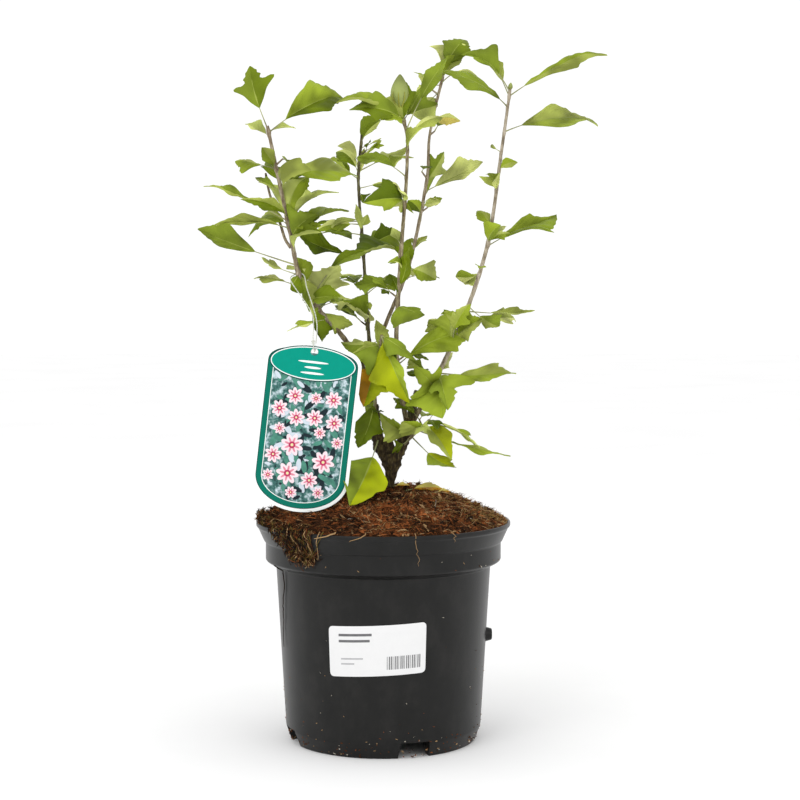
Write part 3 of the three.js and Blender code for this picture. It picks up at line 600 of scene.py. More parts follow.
def add_rings(shell, rings, look, top=None):
    """A closed skin over rings of points, each counted from above against the clock"""
    shell.add(rings, grid_faces(len(rings), rings.shape[1], ring=True), look)
    add_cap(shell, rings[0], look, upward=False)
    add_cap(shell, rings[-1], top or look)


def along_path(path, radii, sides):
    """Rings of points round a path, each turned as little as possible from the one before"""
    path = np.asarray(path, float)
    tangents = unit(np.gradient(path, axis=0))
    across = np.eye(3)[np.abs(tangents[0]).argmin()]
    rings = []
    for middle, tangent, radius in zip(path, tangents, np.broadcast_to(radii, len(path))):
        across = unit(across - tangent * (across @ tangent))
        rings.append(middle + radius * swung(across, np.cross(tangent, across), circle(sides)))
    return np.array(rings)


def add_rod(shell, path, radii, look, sides=6):
    add_rings(shell, along_path(path, radii, sides), look)


def add_spindles(shell, middles, ways, lengths, widths, bends, numbers):
    """Many small slivers at once, each thickest near its middle and bent to one side"""
    count = len(middles)
    ways = unit(ways)
    across = unit(np.cross(ways, ways[:, [1, 2, 0]] + 0.3))
    beside = np.cross(ways, across)
    points = np.empty((count, 8, 3))
    points[:, 0] = middles - ways * lengths[:, None] / 2
    points[:, 7] = middles + ways * lengths[:, None] / 2
    for ring, (place, width) in enumerate([(-0.18, 1.0), (0.22, 0.8)]):
        middle = middles + ways * (lengths * place)[:, None] + beside * bends[:, None]
        for corner, out in enumerate(swung(across, beside, circle(3))):
            points[:, 1 + 3 * ring + corner] = middle + out * (widths * width / 2)[:, None]
    corners = [
        (0, 2, 1), (0, 3, 2), (0, 1, 3), (1, 2, 5), (1, 5, 4), (2, 3, 6), (2, 6, 5), (3, 1, 4), (3, 4, 6),
        (4, 5, 7), (5, 6, 7), (6, 4, 7),
    ]
    faces = (np.array(corners) + 8 * np.arange(count)[:, None, None]).reshape(-1, 3)
    shell.add(points, faces, np.repeat(numbers, len(corners)))


# Pot

def body_radius(height):
    share = (height - POT.body_foot) / (POT.body_top - POT.body_foot)
    return mix(POT.body_foot_radius, POT.body_top_radius, share)


def outside_radius(height):
    """The pot's outer radius from its body up to its rim"""
    heights = [POT.body_foot, POT.body_top, POT.collar_foot, POT.collar_top, POT.rim_height]
    radii = [POT.body_foot_radius, POT.body_top_radius, POT.collar_radius, POT.collar_radius, POT.rim_radius]
    return np.interp(height, heights, radii)


def on_pot(heading, height, lift=0.0):
    """A point on the pot's outside"""
    return polar(outside_radius(height) + lift, np.radians(heading), height)


def rounded(corners, cut, samples=4):
    """The line through corners, each [across, up], with every corner but the ends rounded off"""
    corners = [np.array(corner, float) for corner in corners]
    line = [corners[0]]
    for before, corner, after in zip(corners, corners[1:], corners[2:]):
        start = corner + unit(before - corner) * min(cut, np.linalg.norm(before - corner) * 0.45)
        end = corner + unit(after - corner) * min(cut, np.linalg.norm(after - corner) * 0.45)
        for t in np.linspace(0, 1, samples):
            line.append(start * (1 - t) ** 2 + corner * 2 * t * (1 - t) + end * t * t)
    return np.array([*line, corners[-1]])


def turned(profile, sides):
    """Rings of points made by turning a profile of radii and heights round the pot's axis"""
    return polar(profile[:, :1], circle(sides), profile[:, 1:])


def cut_away(piece, cutter):
    """Takes a closed object out of a piece, for good."""
    cut = piece.modifiers.new("cut", "BOOLEAN")
    cut.object = cutter
    cut.solver = "EXACT"
    evaluated = piece.evaluated_get(bpy.context.evaluated_depsgraph_get())
    piece.data = bpy.data.meshes.new_from_object(evaluated)
    piece.modifiers.clear()
    bpy.data.objects.remove(cutter)


def make_pot():
    wall = POT.wall
    step = 1.2
    profile = rounded([
        (POT.inmost, 0),
        (POT.pad_radius, 0),
        (POT.pad_radius + 1, POT.hollow),
        (POT.ring_inside - 1, POT.hollow),
        (POT.ring_inside, 0),
        (POT.foot_radius, 0),
        (POT.body_foot_radius, POT.body_foot),
        (POT.body_top_radius, POT.body_top),
        (POT.collar_radius - step, POT.collar_foot - 0.6),
        (POT.collar_radius, POT.collar_foot + 0.6),
        (POT.collar_radius, POT.collar_top - 0.4),
        (POT.collar_radius + step, POT.collar_top + 0.6),
        (POT.rim_radius - 1.4, POT.rim_height - 4.2),
        (POT.rim_radius, POT.rim_height - 3),
        (POT.rim_radius, POT.rim_height),
        (POT.rim_radius - wall, POT.rim_height),
        (POT.collar_radius - wall, POT.collar_top + 1),
        (POT.collar_radius - wall, POT.collar_foot + wall),
        (POT.body_top_radius - wall, POT.body_top + wall),
        (body_radius(POT.floor_top) - wall, POT.floor_top),
        (POT.inmost, POT.floor_top),
    ], cut=0.9)
    shell = Shell("pot_plastic")
    add_rings(shell, turned(profile, POT.sides), "pot_plastic")
    pot = shell.piece("pot_shell", "pot_plastic", replaces=["pot"], sharp=35)

    slots = Shell("pot_plastic")
    for heading in DRAIN.headings:
        out, beside = direction(heading, 0), direction(heading + 90, 0)
        rings = []
        for height in (-DRAIN.height, 0, DRAIN.height):
            half = DRAIN.width / 2 - (DRAIN.taper if height > 0 else 0)
            rings.append([
                out * (POT.foot_radius + a * DRAIN.depth / 2) + beside * b * half + [0, 0, height]
                for a, b in ((-1, -1), (1, -1), (1, 1), (-1, 1))
            ])
        add_rings(slots, np.array(rings), "pot_plastic")
    cut_away(pot, slots.piece("drain_slots", "pot_plastic"))
    pot.data.set_sharp_from_angle(angle=radians(35))


def make_knob():
    """The stub left by moulding on the pot's right side"""
    shell = Shell("pot_plastic")
    foot = body_radius(KNOB.height)
    profile = rounded([
        (foot - 1.5, KNOB.radius * 1.25), (foot + 0.4, KNOB.radius * 1.05),
        (foot + KNOB.proud, KNOB.radius * 0.85), (foot + KNOB.proud, 0.4),
    ], cut=1.2)
    angles = np.linspace(0, TURN, 32, endpoint=False)
    rings = np.array([
        [(out, radius * math.cos(a), KNOB.height + radius * math.sin(a)) for a in angles]
        for out, radius in profile
    ])
    add_rings(shell, rings, "pot_plastic")
    shell.piece("pot_knob", "pot_plastic")


def make_pot_dirt():
    """Grains of dried soil and pale scuffs on the outside of the pot"""
    rng = np.random.default_rng(5)
    looks = ("peat_rust", "peat_brown", "peat_straw", "grit")
    shell = Shell(*looks)
    groups = [
        # count, lowest and highest place, chances of each look, length, width
        (320, 1, 14, (0.26, 0.46, 0.2, 0.08), 1.3, 0.8),
        (90, 12, 60, (0.14, 0.26, 0.36, 0.24), 1.2, 0.5),
        (26, 60, 130, (0.05, 0.15, 0.4, 0.4), 0.9, 0.4),
        (60, 136, 160, (0.06, 0.2, 0.4, 0.34), 1.5, 0.4),
    ]
    for count, low, high, chances, length, width in groups:
        headings = rng.uniform(0, 360, count)
        heights = low + (high - low) * rng.uniform(0, 1, count) ** 1.4
        foot_share = np.clip((POT.body_foot - heights) / POT.body_foot, 0, 1)
        inset = foot_share * (POT.body_foot_radius - POT.foot_radius)
        middles = on_pot(headings, heights, -inset)
        ways = np.cross(middles * [1, 1, 0], [0, 0, 1.0]) / 80 + rng.normal(size=(count, 3)) * [0.3, 0.3, 0.8]
        add_spindles(
            shell, middles, ways, length * rng.uniform(0.5, 2.2, count), width * rng.uniform(0.5, 1.6, count),
            rng.uniform(0, 0.2, count), rng.choice(len(looks), count, p=chances),
        )
    shell.piece("pot_dirt", "potting_soil")


# Soil

# Uneven fields for the clods and, wider, for the hummocks
lumps = waves(3, 9, 22)
hummocks = waves(4, 24, 60, 12)


def soil_height(radius):
    share = np.minimum(radius / SOIL.edge_radius, 1)
    return SOIL.edge_height + SOIL.rise * (1 - share * share) ** 0.7


def soil_surface(x, y):
    """The height of the lumpy soil, which is smoother near the pot's rim and round the trunk"""
    radius = np.hypot(x, y)
    flat = np.stack([x, y, np.zeros_like(x)], -1)
    near_rim = np.clip((SOIL.edge_radius + 3 - radius) / 12, 0.1, 1)
    near_trunk = np.clip((radius - 4) / 10, 0, 1)
    clods = LUMPS.clods * np.abs(lumps(flat)) - LUMPS.between_clods
    slide = SLIDE.depth * np.exp(-((x - SLIDE.middle) / SLIDE.across) ** 2 - (y / SLIDE.along) ** 2)
    relief = (clods + LUMPS.hummocks * hummocks(flat)) * near_rim * near_trunk
    return soil_height(radius) - LUMPS.sink - slide * near_rim + relief


def make_soil():
    inset = POT.wall + GAP
    wall = [
        (POT.inmost, POT.floor_top + GAP),
        (body_radius(POT.floor_top) - inset, POT.floor_top + GAP),
        (POT.body_top_radius - inset, POT.body_top + POT.wall),
        (POT.collar_radius - inset, POT.collar_foot + POT.wall),
        (POT.collar_radius - inset, POT.collar_top + 1),
        (POT.rim_radius - inset - 0.5, POT.rim_height - 1),
    ]
    top = [(radius, 0) for radius in np.linspace(SOIL.edge_radius, 1, SOIL.rings)]
    rings = turned(np.array(wall + top, float), 2 * POT.sides)
    surface = rings[len(wall):]
    surface[..., 2] = soil_surface(surface[..., 0], surface[..., 1])
    shell = Shell("soil_dark")
    add_rings(shell, rings, "soil_dark")
    shell.piece("soil_bed", "potting_soil", replaces=["soil"], sharp=80)


def on_soil(rng, count, outermost=91.5):
    """Seeded places spread evenly over the soil"""
    radius = outermost * np.sqrt(rng.uniform(0.002, 1, count))
    places = polar(radius, rng.uniform(0, TURN, count), 0.0)
    places[:, 2] = soil_surface(places[:, 0], places[:, 1])
    return places


def make_peat():
    """Crumbs, flakes and fibres of peat all over the soil, in patches that are redder or darker, with painted
    shade and painted light among them
    """
    rng = np.random.default_rng(8)
    looks = ("peat_black", "peat_brown", "peat_rust", "peat_orange", "peat_straw", "dry_moss", "grit")
    shades = np.array([
        # chances of each look in a dark, a plain and a bright patch, whose darkness and brightness are partly
        # random and partly painted shade and light
        (0.44, 0.36, 0.11, 0.03, 0.03, 0.028, 0.002),
        (0.16, 0.34, 0.25, 0.11, 0.1, 0.036, 0.004),
        (0.04, 0.16, 0.31, 0.29, 0.16, 0.036, 0.004),
    ])
    kinds = [
        # name, count, length, width, and how steeply they lie
        ("soil_crumbs", 2400, 2.6, 1.9, 0.5),
        ("soil_flakes", 1000, 6.5, 1.7, 0.3),
        ("soil_fibres", 12500, 8.5, 0.44, 0.42),
    ]
    patches = waves(9, 14, 40, 16)
    for name, count, length, width, steepness in kinds:
        shell = Shell(*looks)
        middles = on_soil(rng, count)
        x, y = middles[:, 0], middles[:, 1]
        # Painted shade makes it darkest at the left and under the trunk, and painted light makes it brightest
        # right of the trunk and in front of it. There is dry moss at the right towards the back.
        painted_light = 0.55 * np.exp(-((x - 26) / 34) ** 2)
        painted_light = painted_light + 0.3 * np.exp(-((x + 4) / 22) ** 2) * np.clip(-y / 60, 0, 1)
        shadow = 0.9 * np.exp(-np.hypot(x + 4, y + 6) / 14)
        brightness = patches(middles) * 0.6 + painted_light - shadow - 0.22
        shade = np.digitize(brightness + rng.normal(0, 0.15, count), [-0.25, 0.3])
        draws = rng.uniform(0, 1, count)
        numbers = (draws[:, None] > np.cumsum(shades, 1)[shade]).sum(1).clip(0, len(looks) - 1)
        mossy = np.clip((x - 5) / 60, 0, 1) * np.clip((y + 60) / 50, 0, 1)
        draws = rng.uniform(0, 1, count)
        numbers[draws < 0.58 * mossy] = looks.index("dry_moss")
        numbers[draws < 0.17 * mossy] = looks.index("peat_straw")
        ways = rng.normal(size=(count, 3)) * [1, 1, steepness]
        sizes = rng.uniform(0.45, 1.5, count)
        middles[:, 2] += rng.uniform(-0.3, 0.8, count)
        bends = rng.uniform(-0.12, 0.12, count) * length * sizes
        add_spindles(shell, middles, ways, length * sizes, width * sizes ** 0.5, bends, numbers)
        shell.piece(name, "potting_soil", sharp=70)


# The clump of moss and roots at the front left: a tuft lies on the rim between two headings and hangs
# over it between two others, and strands of up to `drop` hang from it down the collar, with a small nest
# of bits among them.
MAT = Sizes(
    tuft=(181, 236), overhang=(211, 232), bits=2500, strands=(218, 242), strand_count=46, drop=27,
    nest_heading=232, nest_drop=18, nest_bits=330,
)


def make_moss():
    rng = np.random.default_rng(12)
    looks = ("peat_black", "peat_brown", "moss", "peat_straw", "peat_rust")
    shell = Shell(*looks)
    count = MAT.bits
    headings = rng.uniform(*MAT.tuft, count)
    inward = rng.uniform(-0.6, 1, count) * 20
    kept_in = (headings < MAT.overhang[0]) | (headings > MAT.overhang[1])
    inward[kept_in] = 1 + np.abs(inward[kept_in])
    crest = np.interp(headings, [185, 212], [8, 3]) * np.exp(-((inward - 5) / 7) ** 2)
    crest = crest * rng.uniform(0, 1, count)
    radius = POT.rim_radius + 0.5 - np.maximum(inward, 0)
    # What lies beyond the rim's edge hangs down outside it, most where the strands begin.
    below = np.maximum(-inward, 0) * np.interp(headings, [211, 217, 224, 229, 232], [0.4, 1.4, 1.9, 0.5, 0.2])
    heights = POT.rim_height + 1 + crest + np.maximum(inward, 0) * 0.05 - below
    middles = polar(radius, np.radians(headings), heights)
    over = inward < 0
    lift = 0.4 + rng.uniform(0, 1.6, over.sum())
    middles[over] = on_pot(headings[over], POT.rim_height - below[over], lift)
    ways = rng.normal(size=(count, 3)) * 0.8 + np.where(over, -1.0, 0.6)[:, None] * np.array([0, 0, 1.0])
    numbers = rng.choice(len(looks), count, p=(0.4, 0.32, 0.14, 0.06, 0.08))
    sizes = rng.uniform(0.5, 1.5, count)
    add_spindles(shell, middles, ways, 4.6 * sizes, 0.65 * sizes, rng.uniform(-0.6, 0.6, count), numbers)

    # The nest of bits caught among the strands, low on the collar
    count = MAT.nest_bits
    headings = rng.normal(MAT.nest_heading, 3.4, count)
    drops = rng.normal(MAT.nest_drop, 2.6, count)
    middles = on_pot(headings, POT.rim_height - drops, rng.uniform(0.5, 3.5, count))
    numbers = rng.choice(len(looks), count, p=(0.36, 0.34, 0.1, 0.14, 0.06))
    sizes = rng.uniform(0.5, 1.5, count)
    ways = rng.normal(size=(count, 3))
    add_spindles(shell, middles, ways, 5 * sizes, 0.55 * sizes, rng.uniform(-0.8, 0.8, count), numbers)
    shell.piece("moss_tuft", "potting_soil", sharp=70)


def make_roots():
    """Fine roots that hang from the tuft and the soil's edge, and a long one down the pot's left side"""
    rng = np.random.default_rng(14)
    looks = ("peat_black", "moss", "peat_brown", "peat_straw")
    shell = Shell(*looks)
    rim = POT.rim_height + 2
    roots = [
        # heading, how far it drifts round the pot, top, length, thickness and look
        (206, -12, 137, 64, 0.5, "peat_black"), (250, -9, rim, 5, 0.6, "peat_straw"),
        (242, -3, rim, 21, 0.35, "peat_straw"), (262, -8, rim, 6, 0.35, "peat_straw"),
        (284, 0, rim, 24, 0.22, "peat_straw"), (300, 2, rim, 8, 0.2, "peat_straw"),
    ]
    for _ in range(MAT.strand_count):
        heading = rng.normal(sum(MAT.strands) / 2, 5.5)
        drift = rng.normal((233 - heading) * 0.5, 3)
        length = MAT.drop * rng.uniform(0.35, 1.0)
        thick = rng.uniform(0.18, 0.45)
        roots.append((heading, drift, rim, length, thick, rng.choice(looks, p=(0.36, 0.26, 0.3, 0.08))))
    for heading, drift, top, length, thick, look in roots:
        steps = max(8, int(length / 2))
        down = np.linspace(0, 1, steps)
        wander = drift * down ** 1.3 + np.cumsum(rng.normal(0, 0.5, steps))
        loose = 2.2 if top == rim else 0.4
        lift = mix(-3, thick + 0.25, np.clip(down * length / 3, 0, 1))
        lift = lift + loose * np.abs(np.sin(down * 7 + length))
        path = on_pot(heading + wander, top - down * length, lift)
        add_rod(shell, path, thick * np.linspace(1, 0.45, steps), look, sides=5)
    shell.piece("hanging_roots", "potting_soil")


# Label

def label_half_height(in_from_end):
    short = np.maximum(LABEL.corner - in_from_end, 0)
    return LABEL.height / 2 - LABEL.corner + np.sqrt(LABEL.corner ** 2 - short * short)


def slab_faces(rows, columns):
    """Faces of two grids that share their rim: the numbers for the upper one, for the lower one, and
    which points of the lower one are its own"""
    own = np.zeros((rows, columns), bool)
    own[1:-1, 1:-1] = True
    upper = np.arange(rows * columns).reshape(rows, columns)
    lower = upper.copy()
    lower[own] = rows * columns + np.arange(own.sum())
    faces = grid_faces(rows, columns)
    return faces, lower.ravel()[faces][:, ::-1], own


def add_slab(shell, middle, normals, thick, faces, look):
    """A thin sheet over a grid of points, pinched shut round its rim. `faces` comes from slab_faces."""
    upper, lower, own = faces
    half = np.where(own, thick / 2, 0)[..., None] * normals
    points = np.vstack([(middle + half).reshape(-1, 3), (middle - half)[own]])
    shell.add(points, np.vstack([upper, lower]), look)


def label_point(across, up, lift):
    """A point on the label: shares of its width and of its height from its lower left corner"""
    heading = mix(LABEL.from_heading, LABEL.to_heading, across)
    height = LABEL.middle + LABEL.height * (up - 0.5) + LABEL.climb * (across - 0.5)
    return on_pot(heading, height, lift)


def make_label():
    shell = Shell("label_paper")
    width = radians(LABEL.to_heading - LABEL.from_heading) * body_radius(LABEL.middle)
    share = 0.5 - 0.5 * np.cos(np.linspace(0, math.pi, 49))
    half = label_half_height(width * np.minimum(share, 1 - share)) / LABEL.height
    up = 0.5 + np.linspace(-1, 1, 13)[:, None] * half
    middle = label_point(share, up, GAP + LABEL.thick / 2)
    add_slab(
        shell, middle, unit(middle * [1, 1, 0]), LABEL.thick, slab_faces(*middle.shape[:2]), "label_paper",
    )
    shell.piece("label_film", "label_paper", replaces=["pot_label"])

    ink = Shell("label_ink", "label_grey")
    bars = [
        # left, right, foot and top as shares of the label, and look
        (0.11, 0.45, 0.80, 0.85, "label_ink"), (0.11, 0.43, 0.68, 0.73, "label_ink"),
        (0.13, 0.36, 0.34, 0.37, "label_grey"), (0.13, 0.27, 0.24, 0.27, "label_grey"),
    ]
    # An even row of plain stripes, every third one thin
    stripes = 18
    for stripe in range(stripes):
        left = mix(0.6, 0.95, stripe / stripes)
        bars.append((left, left + (0.011 if stripe % 3 else 0.006), 0.12, 0.38, "label_ink"))
    for left, right, foot, top, look in bars:
        corners = np.linspace(left, right, 8 if right - left > 0.05 else 2)
        grid = label_point(corners, np.array([[foot], [top]]), GAP + LABEL.thick + 0.05)
        ink.add(grid, grid_faces(2, len(corners)), look)
    ink.piece("label_bars", "label_paper")


# Tag and string

def tag_point(across, up, out=0.0):
    """A point of the tag, from millimetres across and up from its hole, and out towards the viewer"""
    tilt = radians(TAG.tilt)
    across, up, out = np.broadcast_arrays(across, up, out)
    turned_x = across * math.cos(tilt) + up * math.sin(tilt)
    turned_z = up * math.cos(tilt) - across * math.sin(tilt)
    return TAG_HOLE + np.stack([turned_x, -out, turned_z], -1)


def quadratic(start, control, end, samples):
    t = np.linspace(0, 1, samples)[:, None]
    start, control, end = np.array(start), np.array(control), np.array(end)
    return start * (1 - t) ** 2 + control * 2 * t * (1 - t) + end * t * t


def tag_outline(inset):
    """The tag's outline, drawn in by that much, from its left shoulder round its foot"""
    half = TAG.width / 2 - inset
    arc = TAG.bottom_arc - inset
    angles = np.linspace(math.pi, TURN, 41)[:, None]
    foot = np.hstack([half * np.cos(angles), TAG.bottom_arc - TAG.length + arc * np.sin(angles)])
    # Two rounded shoulders, and a low crown between the points where they end
    end, end_height, corner, crown = half - 13, -2.5 - inset, -5 - inset, 2.5 - inset
    right = quadratic((half, -TAG.shoulder), (half, corner), (end, end_height), 10)
    top = quadratic((end, end_height), (0, crown), (-end, end_height), 16)[1:-1]
    left = quadratic((-end, end_height), (-half, corner), (-half, -TAG.shoulder), 10)
    return np.vstack([foot, right, top, left]) + [0, TAG.hole_drop]


def ellipse(middle, across, up, turn=0.0, samples=24):
    angles = np.linspace(0, TURN, samples, endpoint=False)
    x, y = across * np.cos(angles), up * np.sin(angles)
    c, s = math.cos(turn), math.sin(turn)
    return np.stack([x * c - y * s, x * s + y * c], -1) + middle


def add_print(shell, outline, layer, look, hole=None, back=False):
    """A printed shape on the tag's front or back. Each layer lies a hair's breadth above the last."""
    loops = [outline] if hole is None else [outline, hole]
    flat = np.vstack(loops)
    triangles = np.array(tessellate_polygon([[(*point, 0) for point in loop] for loop in loops]))
    corners = flat[triangles]
    first, second = corners[:, 1] - corners[:, 0], corners[:, 2] - corners[:, 0]
    clockwise = first[:, 0] * second[:, 1] - first[:, 1] * second[:, 0] < 0
    triangles[clockwise != back] = triangles[clockwise != back][:, ::-1]
    out = TAG.thick / 2 + 0.015 * layer
    shell.add(tag_point(flat[:, 0], flat[:, 1], -out if back else out), triangles, look)


def make_tag():
    card = Shell("card_white")
    hole = ellipse((0, 0), TAG.hole, TAG.hole)
    outline = tag_outline(0)
    for back in (False, True):
        add_print(card, outline, 0, "card_white", hole=hole, back=back)
    for loop, outward in ((outline, True), (hole, False)):
        edge = np.array([tag_point(loop[:, 0], loop[:, 1], out) for out in (TAG.thick / 2, -TAG.thick / 2)])
        card.add(edge, grid_faces(2, len(loop), ring=True)[:, ::1 if outward else -1], "card_white")
    card.piece("tag_card", "tag_card", replaces=["tag"])

    art = Shell(*[look for look in LOOKS if look.startswith("card_")])
    around_hole = ellipse((0, 0), TAG.hole + 0.7, TAG.hole + 0.7)
    for back in (False, True):
        add_print(art, tag_outline(2.4), 1, "card_edge", hole=around_hole, back=back)
        add_print(art, tag_outline(2.9), 2, "card_green", hole=around_hole, back=back)
    add_print(art, tag_outline(6.5), 3, "card_white")
    add_print(art, tag_outline(7), 3.5, "card_night")
    add_picture(art)
    # A plain oval cap over the top of the picture, with three plain rules
    for layer, look, inset in ((30, "card_edge", 0), (31, "card_white", 0.7), (32, "card_cap", 1.4)):
        oval = ellipse(CAP.middle, CAP.across - inset, CAP.up - inset, samples=64)
        add_print(art, oval, layer, look, hole=around_hole)
    for up, width in ((-7.5, 22), (-11.5, 12), (-15.5, 17)):
        add_print(art, ellipse((0, up), width / 2, 0.8), 33, "card_white")
    art.piece("tag_print", "tag_card")


def add_picture(art):
    """A made-up scatter of daisies among leaves on a mottled ground"""
    rng = np.random.default_rng(21)
    half = TAG.width / 2 - PICTURE.margin
    arc_middle = TAG.hole_drop + TAG.bottom_arc - TAG.length

    def inside(across, up, room):
        drop = min(up - arc_middle, 0) / (TAG.bottom_arc - PICTURE.margin - room)
        return (across / (half - room)) ** 2 + drop ** 2 < 1

    for leaf in range(PICTURE.leaves):
        across, up = rng.uniform(-half, half), rng.uniform(-113, -14)
        length = rng.uniform(2.4, 5)
        turn = rng.uniform(0, math.pi)
        look = rng.choice(["card_leaf", "card_dark", "card_sky"], p=[0.45, 0.35, 0.2])
        if inside(across, up, length * 0.9):
            add_print(art, ellipse((across, up), length, length * 0.42, turn, 10), 4 + leaf * 0.06, look)
    daisies = []
    for size, count in ((8.2, 3), (6.2, 9), (4.4, 16)):
        for _ in range(count * 15):
            across, up = rng.uniform(-half, half), rng.uniform(-112, -27)
            clear = all(math.hypot(across - a, up - u) > (size + s) * 1.04 for a, u, s in daisies)
            placed = sum(1 for daisy in daisies if daisy[2] == size)
            low_enough = size < 8 or up < -66
            if placed < count and clear and low_enough and inside(across, up, size * 0.95):
                daisies.append((across, up, size))
    for across, up, size in daisies:
        turn = rng.uniform(0, TURN)
        middle = np.array([across, up])
        for petal in range(PICTURE.petals):
            angle = turn + petal * TURN / PICTURE.petals
            way = np.array([math.cos(angle), math.sin(angle)])
            whole = ellipse(middle + way * size * 0.55, size * 0.46, size * 0.24, angle)
            stripe = ellipse(middle + way * size * 0.4, size * 0.3, size * 0.09, angle, 12)
            add_print(art, whole, 18 + petal * 0.4, "card_petal")
            add_print(art, stripe, 24, "card_pink")
        add_print(art, ellipse((across, up), size * 0.3, size * 0.3, 0, 16), 26, "card_crimson")
        add_print(art, ellipse((across, up), size * 0.13, size * 0.13, 0, 12), 27, "card_heart")


def string_knots(hook):
    """The string's way through the tag's hole, up on both sides of it and round the shoot at `hook`"""
    near_hole = [(0.4, 1.3, 2), (0, 0, 0), (-0.6, -1.6, 3.5), (-1, -1.4, 9), (-2.2, 12, 26)]
    radius = STRING.hook_radius
    round_shoot = [(-5, -12, -5), (-radius, -1, -1.5), (0, radius, 0), (radius, -1, -1), (7, -14, -11)]
    back_down = [(1.2, 9, 21), (0.9, 1.9, 6)]
    return np.vstack([TAG_HOLE + near_hole, hook + round_shoot, TAG_HOLE + back_down])


def smooth_loop(knots, count):
    """Points of a closed smooth curve through knots, whose bends stay tight where knots are close"""
    total = len(knots)
    gaps = np.linalg.norm(np.roll(knots, -1, 0) - knots, axis=1) ** 0.5
    points = []
    for place in np.linspace(0, total, count, endpoint=False):
        index = int(place)
        t = place - index
        before, start, end, after = (knots[(index + k) % total] for k in (-1, 0, 1, 2))
        first, middle, last = (gaps[(index + k) % total] for k in (-1, 0, 1))
        step = (end - start) / middle
        leave = middle * ((start - before) / first - (end - before) / (first + middle) + step)
        arrive = middle * (step - (after - start) / (middle + last) + (after - end) / last)
        points.append(
            start + leave * t + (3 * (end - start) - 2 * leave - arrive) * t * t
            + (2 * (start - end) + leave + arrive) * t ** 3,
        )
    return np.array(points)


def smooth_path(knots, count):
    """Points of an open smooth curve through knots"""
    knots = np.array(knots, float)
    mirrored = np.vstack([2 * knots[0] - knots[1], knots, 2 * knots[-1] - knots[-2]])
    whole = smooth_loop(mirrored, 40 * len(mirrored))
    inner = whole[40:40 * (len(mirrored) - 2) + 1]
    return inner[np.linspace(0, len(inner) - 1, count).astype(int)]


def make_string(knots):
    """Two twisted strands, and the small knot that ties them above the hole"""
    shell = Shell("thread")
    path = smooth_loop(knots, 900)
    tangents = unit(np.roll(path, -1, 0) - np.roll(path, 1, 0))
    across = unit(np.cross(tangents, [0.2, 0.3, 1.0]))
    beside = np.cross(tangents, across)
    for strand in (0, math.pi):
        twist = (np.arange(len(path)) * TURN * STRING.twists / len(path) + strand)[:, None]
        off = STRING.radius * 0.45 * (across * np.cos(twist) + beside * np.sin(twist))
        rings = along_path(path + off, STRING.radius * 0.5, 6)
        shell.add(rings, grid_faces(len(rings), 6, ring=True), "thread")
    t = np.linspace(0, TURN, 60)
    knot = np.stack([np.sin(t) + 2 * np.sin(2 * t), -np.sin(3 * t), np.cos(t) - 2 * np.cos(2 * t)], -1)
    place = TAG_HOLE + [-0.9, -1.5, 7]
    add_rod(shell, place + knot * 0.42, STRING.radius * 0.8, "thread")
    shell.piece("tag_thread", "string", replaces=["tag_string"])


# Limbs

class LimbLine:
    """A limb's middle line, which climbs evenly through its knots from the lowest to the highest"""

    def __init__(self, knots):
        self.knots = np.array(knots, float)
        self.foot, self.top = self.knots[0, 2], self.knots[-1, 2]
        before = np.vstack([self.knots[:1], self.knots[:-1]])
        after = np.vstack([self.knots[1:], self.knots[-1:]])
        self.slopes = (after - before) / (after - before)[:, 2:]

    def at(self, heights):
        heights = np.asarray(heights, float)
        above = np.searchsorted(self.knots[:, 2], heights, side="right")
        index = np.clip(above - 1, 0, len(self.knots) - 2)
        start, end = self.knots[index], self.knots[index + 1]
        span = (end - start)[..., 2:]
        t = (heights[..., None] - start[..., 2:]) / span
        ease = t * t * (3 - 2 * t)
        points = start * (1 - ease) + end * ease
        points = points + self.slopes[index] * span * t * (1 - t) ** 2
        points = points - self.slopes[index + 1] * span * t * t * (1 - t)
        points[..., 2] = heights
        return points


def limb_radius(line, limb, slimness=1.0, flare=0.0):
    """How thick a limb is from its foot to its tip. `flare` widens its foot."""

    def radius_at(heights):
        plain = mix(limb.foot, limb.tip, (heights - line.foot) / (line.top - line.foot)) * slimness
        return plain * (1 + flare * np.exp(-(heights - line.foot) / 9))

    return radius_at


# The bark's own outline: a slim foot, and at the fork a web of wood between the arms
TRUNK_BARK = Sizes(heights=[189, 193, 198, 204, 210, 214], radii=[3.1, 3, 3.7, 5.9, 7.6, 7.9])
WEB_BARK = Sizes(heights=[206, 215, 221, 226], radii=[5, 6.2, 5, 2.4])
WEB = Sizes(knots=[(5, 0, 206), (3.5, 0, 215), (1.5, 0.5, 226)])


def bark_radius(bark):
    return lambda heights: np.interp(heights, bark.heights, bark.radii)


def limb_rings(line, start, end, radius_at, relief, nodes, sides=20, step=0.9, seed=1):
    """Rings of points over a limb's bark: uneven by `relief` of its radius, and swollen at each of its
    nodes, which are pairs of a height and a heading"""
    count = max(2, round((end - start) / step) + 1)
    heights = np.linspace(start, end, count)
    middles = line.at(heights)
    tangents = unit(line.at(heights + 0.5) - line.at(heights - 0.5))
    side = unit(np.cross(AWAY, tangents))
    front = np.cross(side, tangents)
    angles = circle(sides)
    out = side[:, None] * np.cos(angles)[:, None] - front[:, None] * np.sin(angles)[:, None]
    base = radius_at(heights)[:, None]
    field = waves(seed, 0.9, 3.4)
    bark = field(middles[:, None] / [1, 1, 2.6] + out * 3.2)
    swell = np.zeros_like(bark)
    for height, heading in nodes:
        near = np.exp(-((heights - height) / 1.9) ** 2)[:, None]
        facing = np.clip(np.cos(angles - radians(heading)), 0, 1) ** 2
        swell += near * (0.05 + 0.25 * facing)
    return middles[:, None] + out * (base * (1 + relief * bark + swell))[..., None]


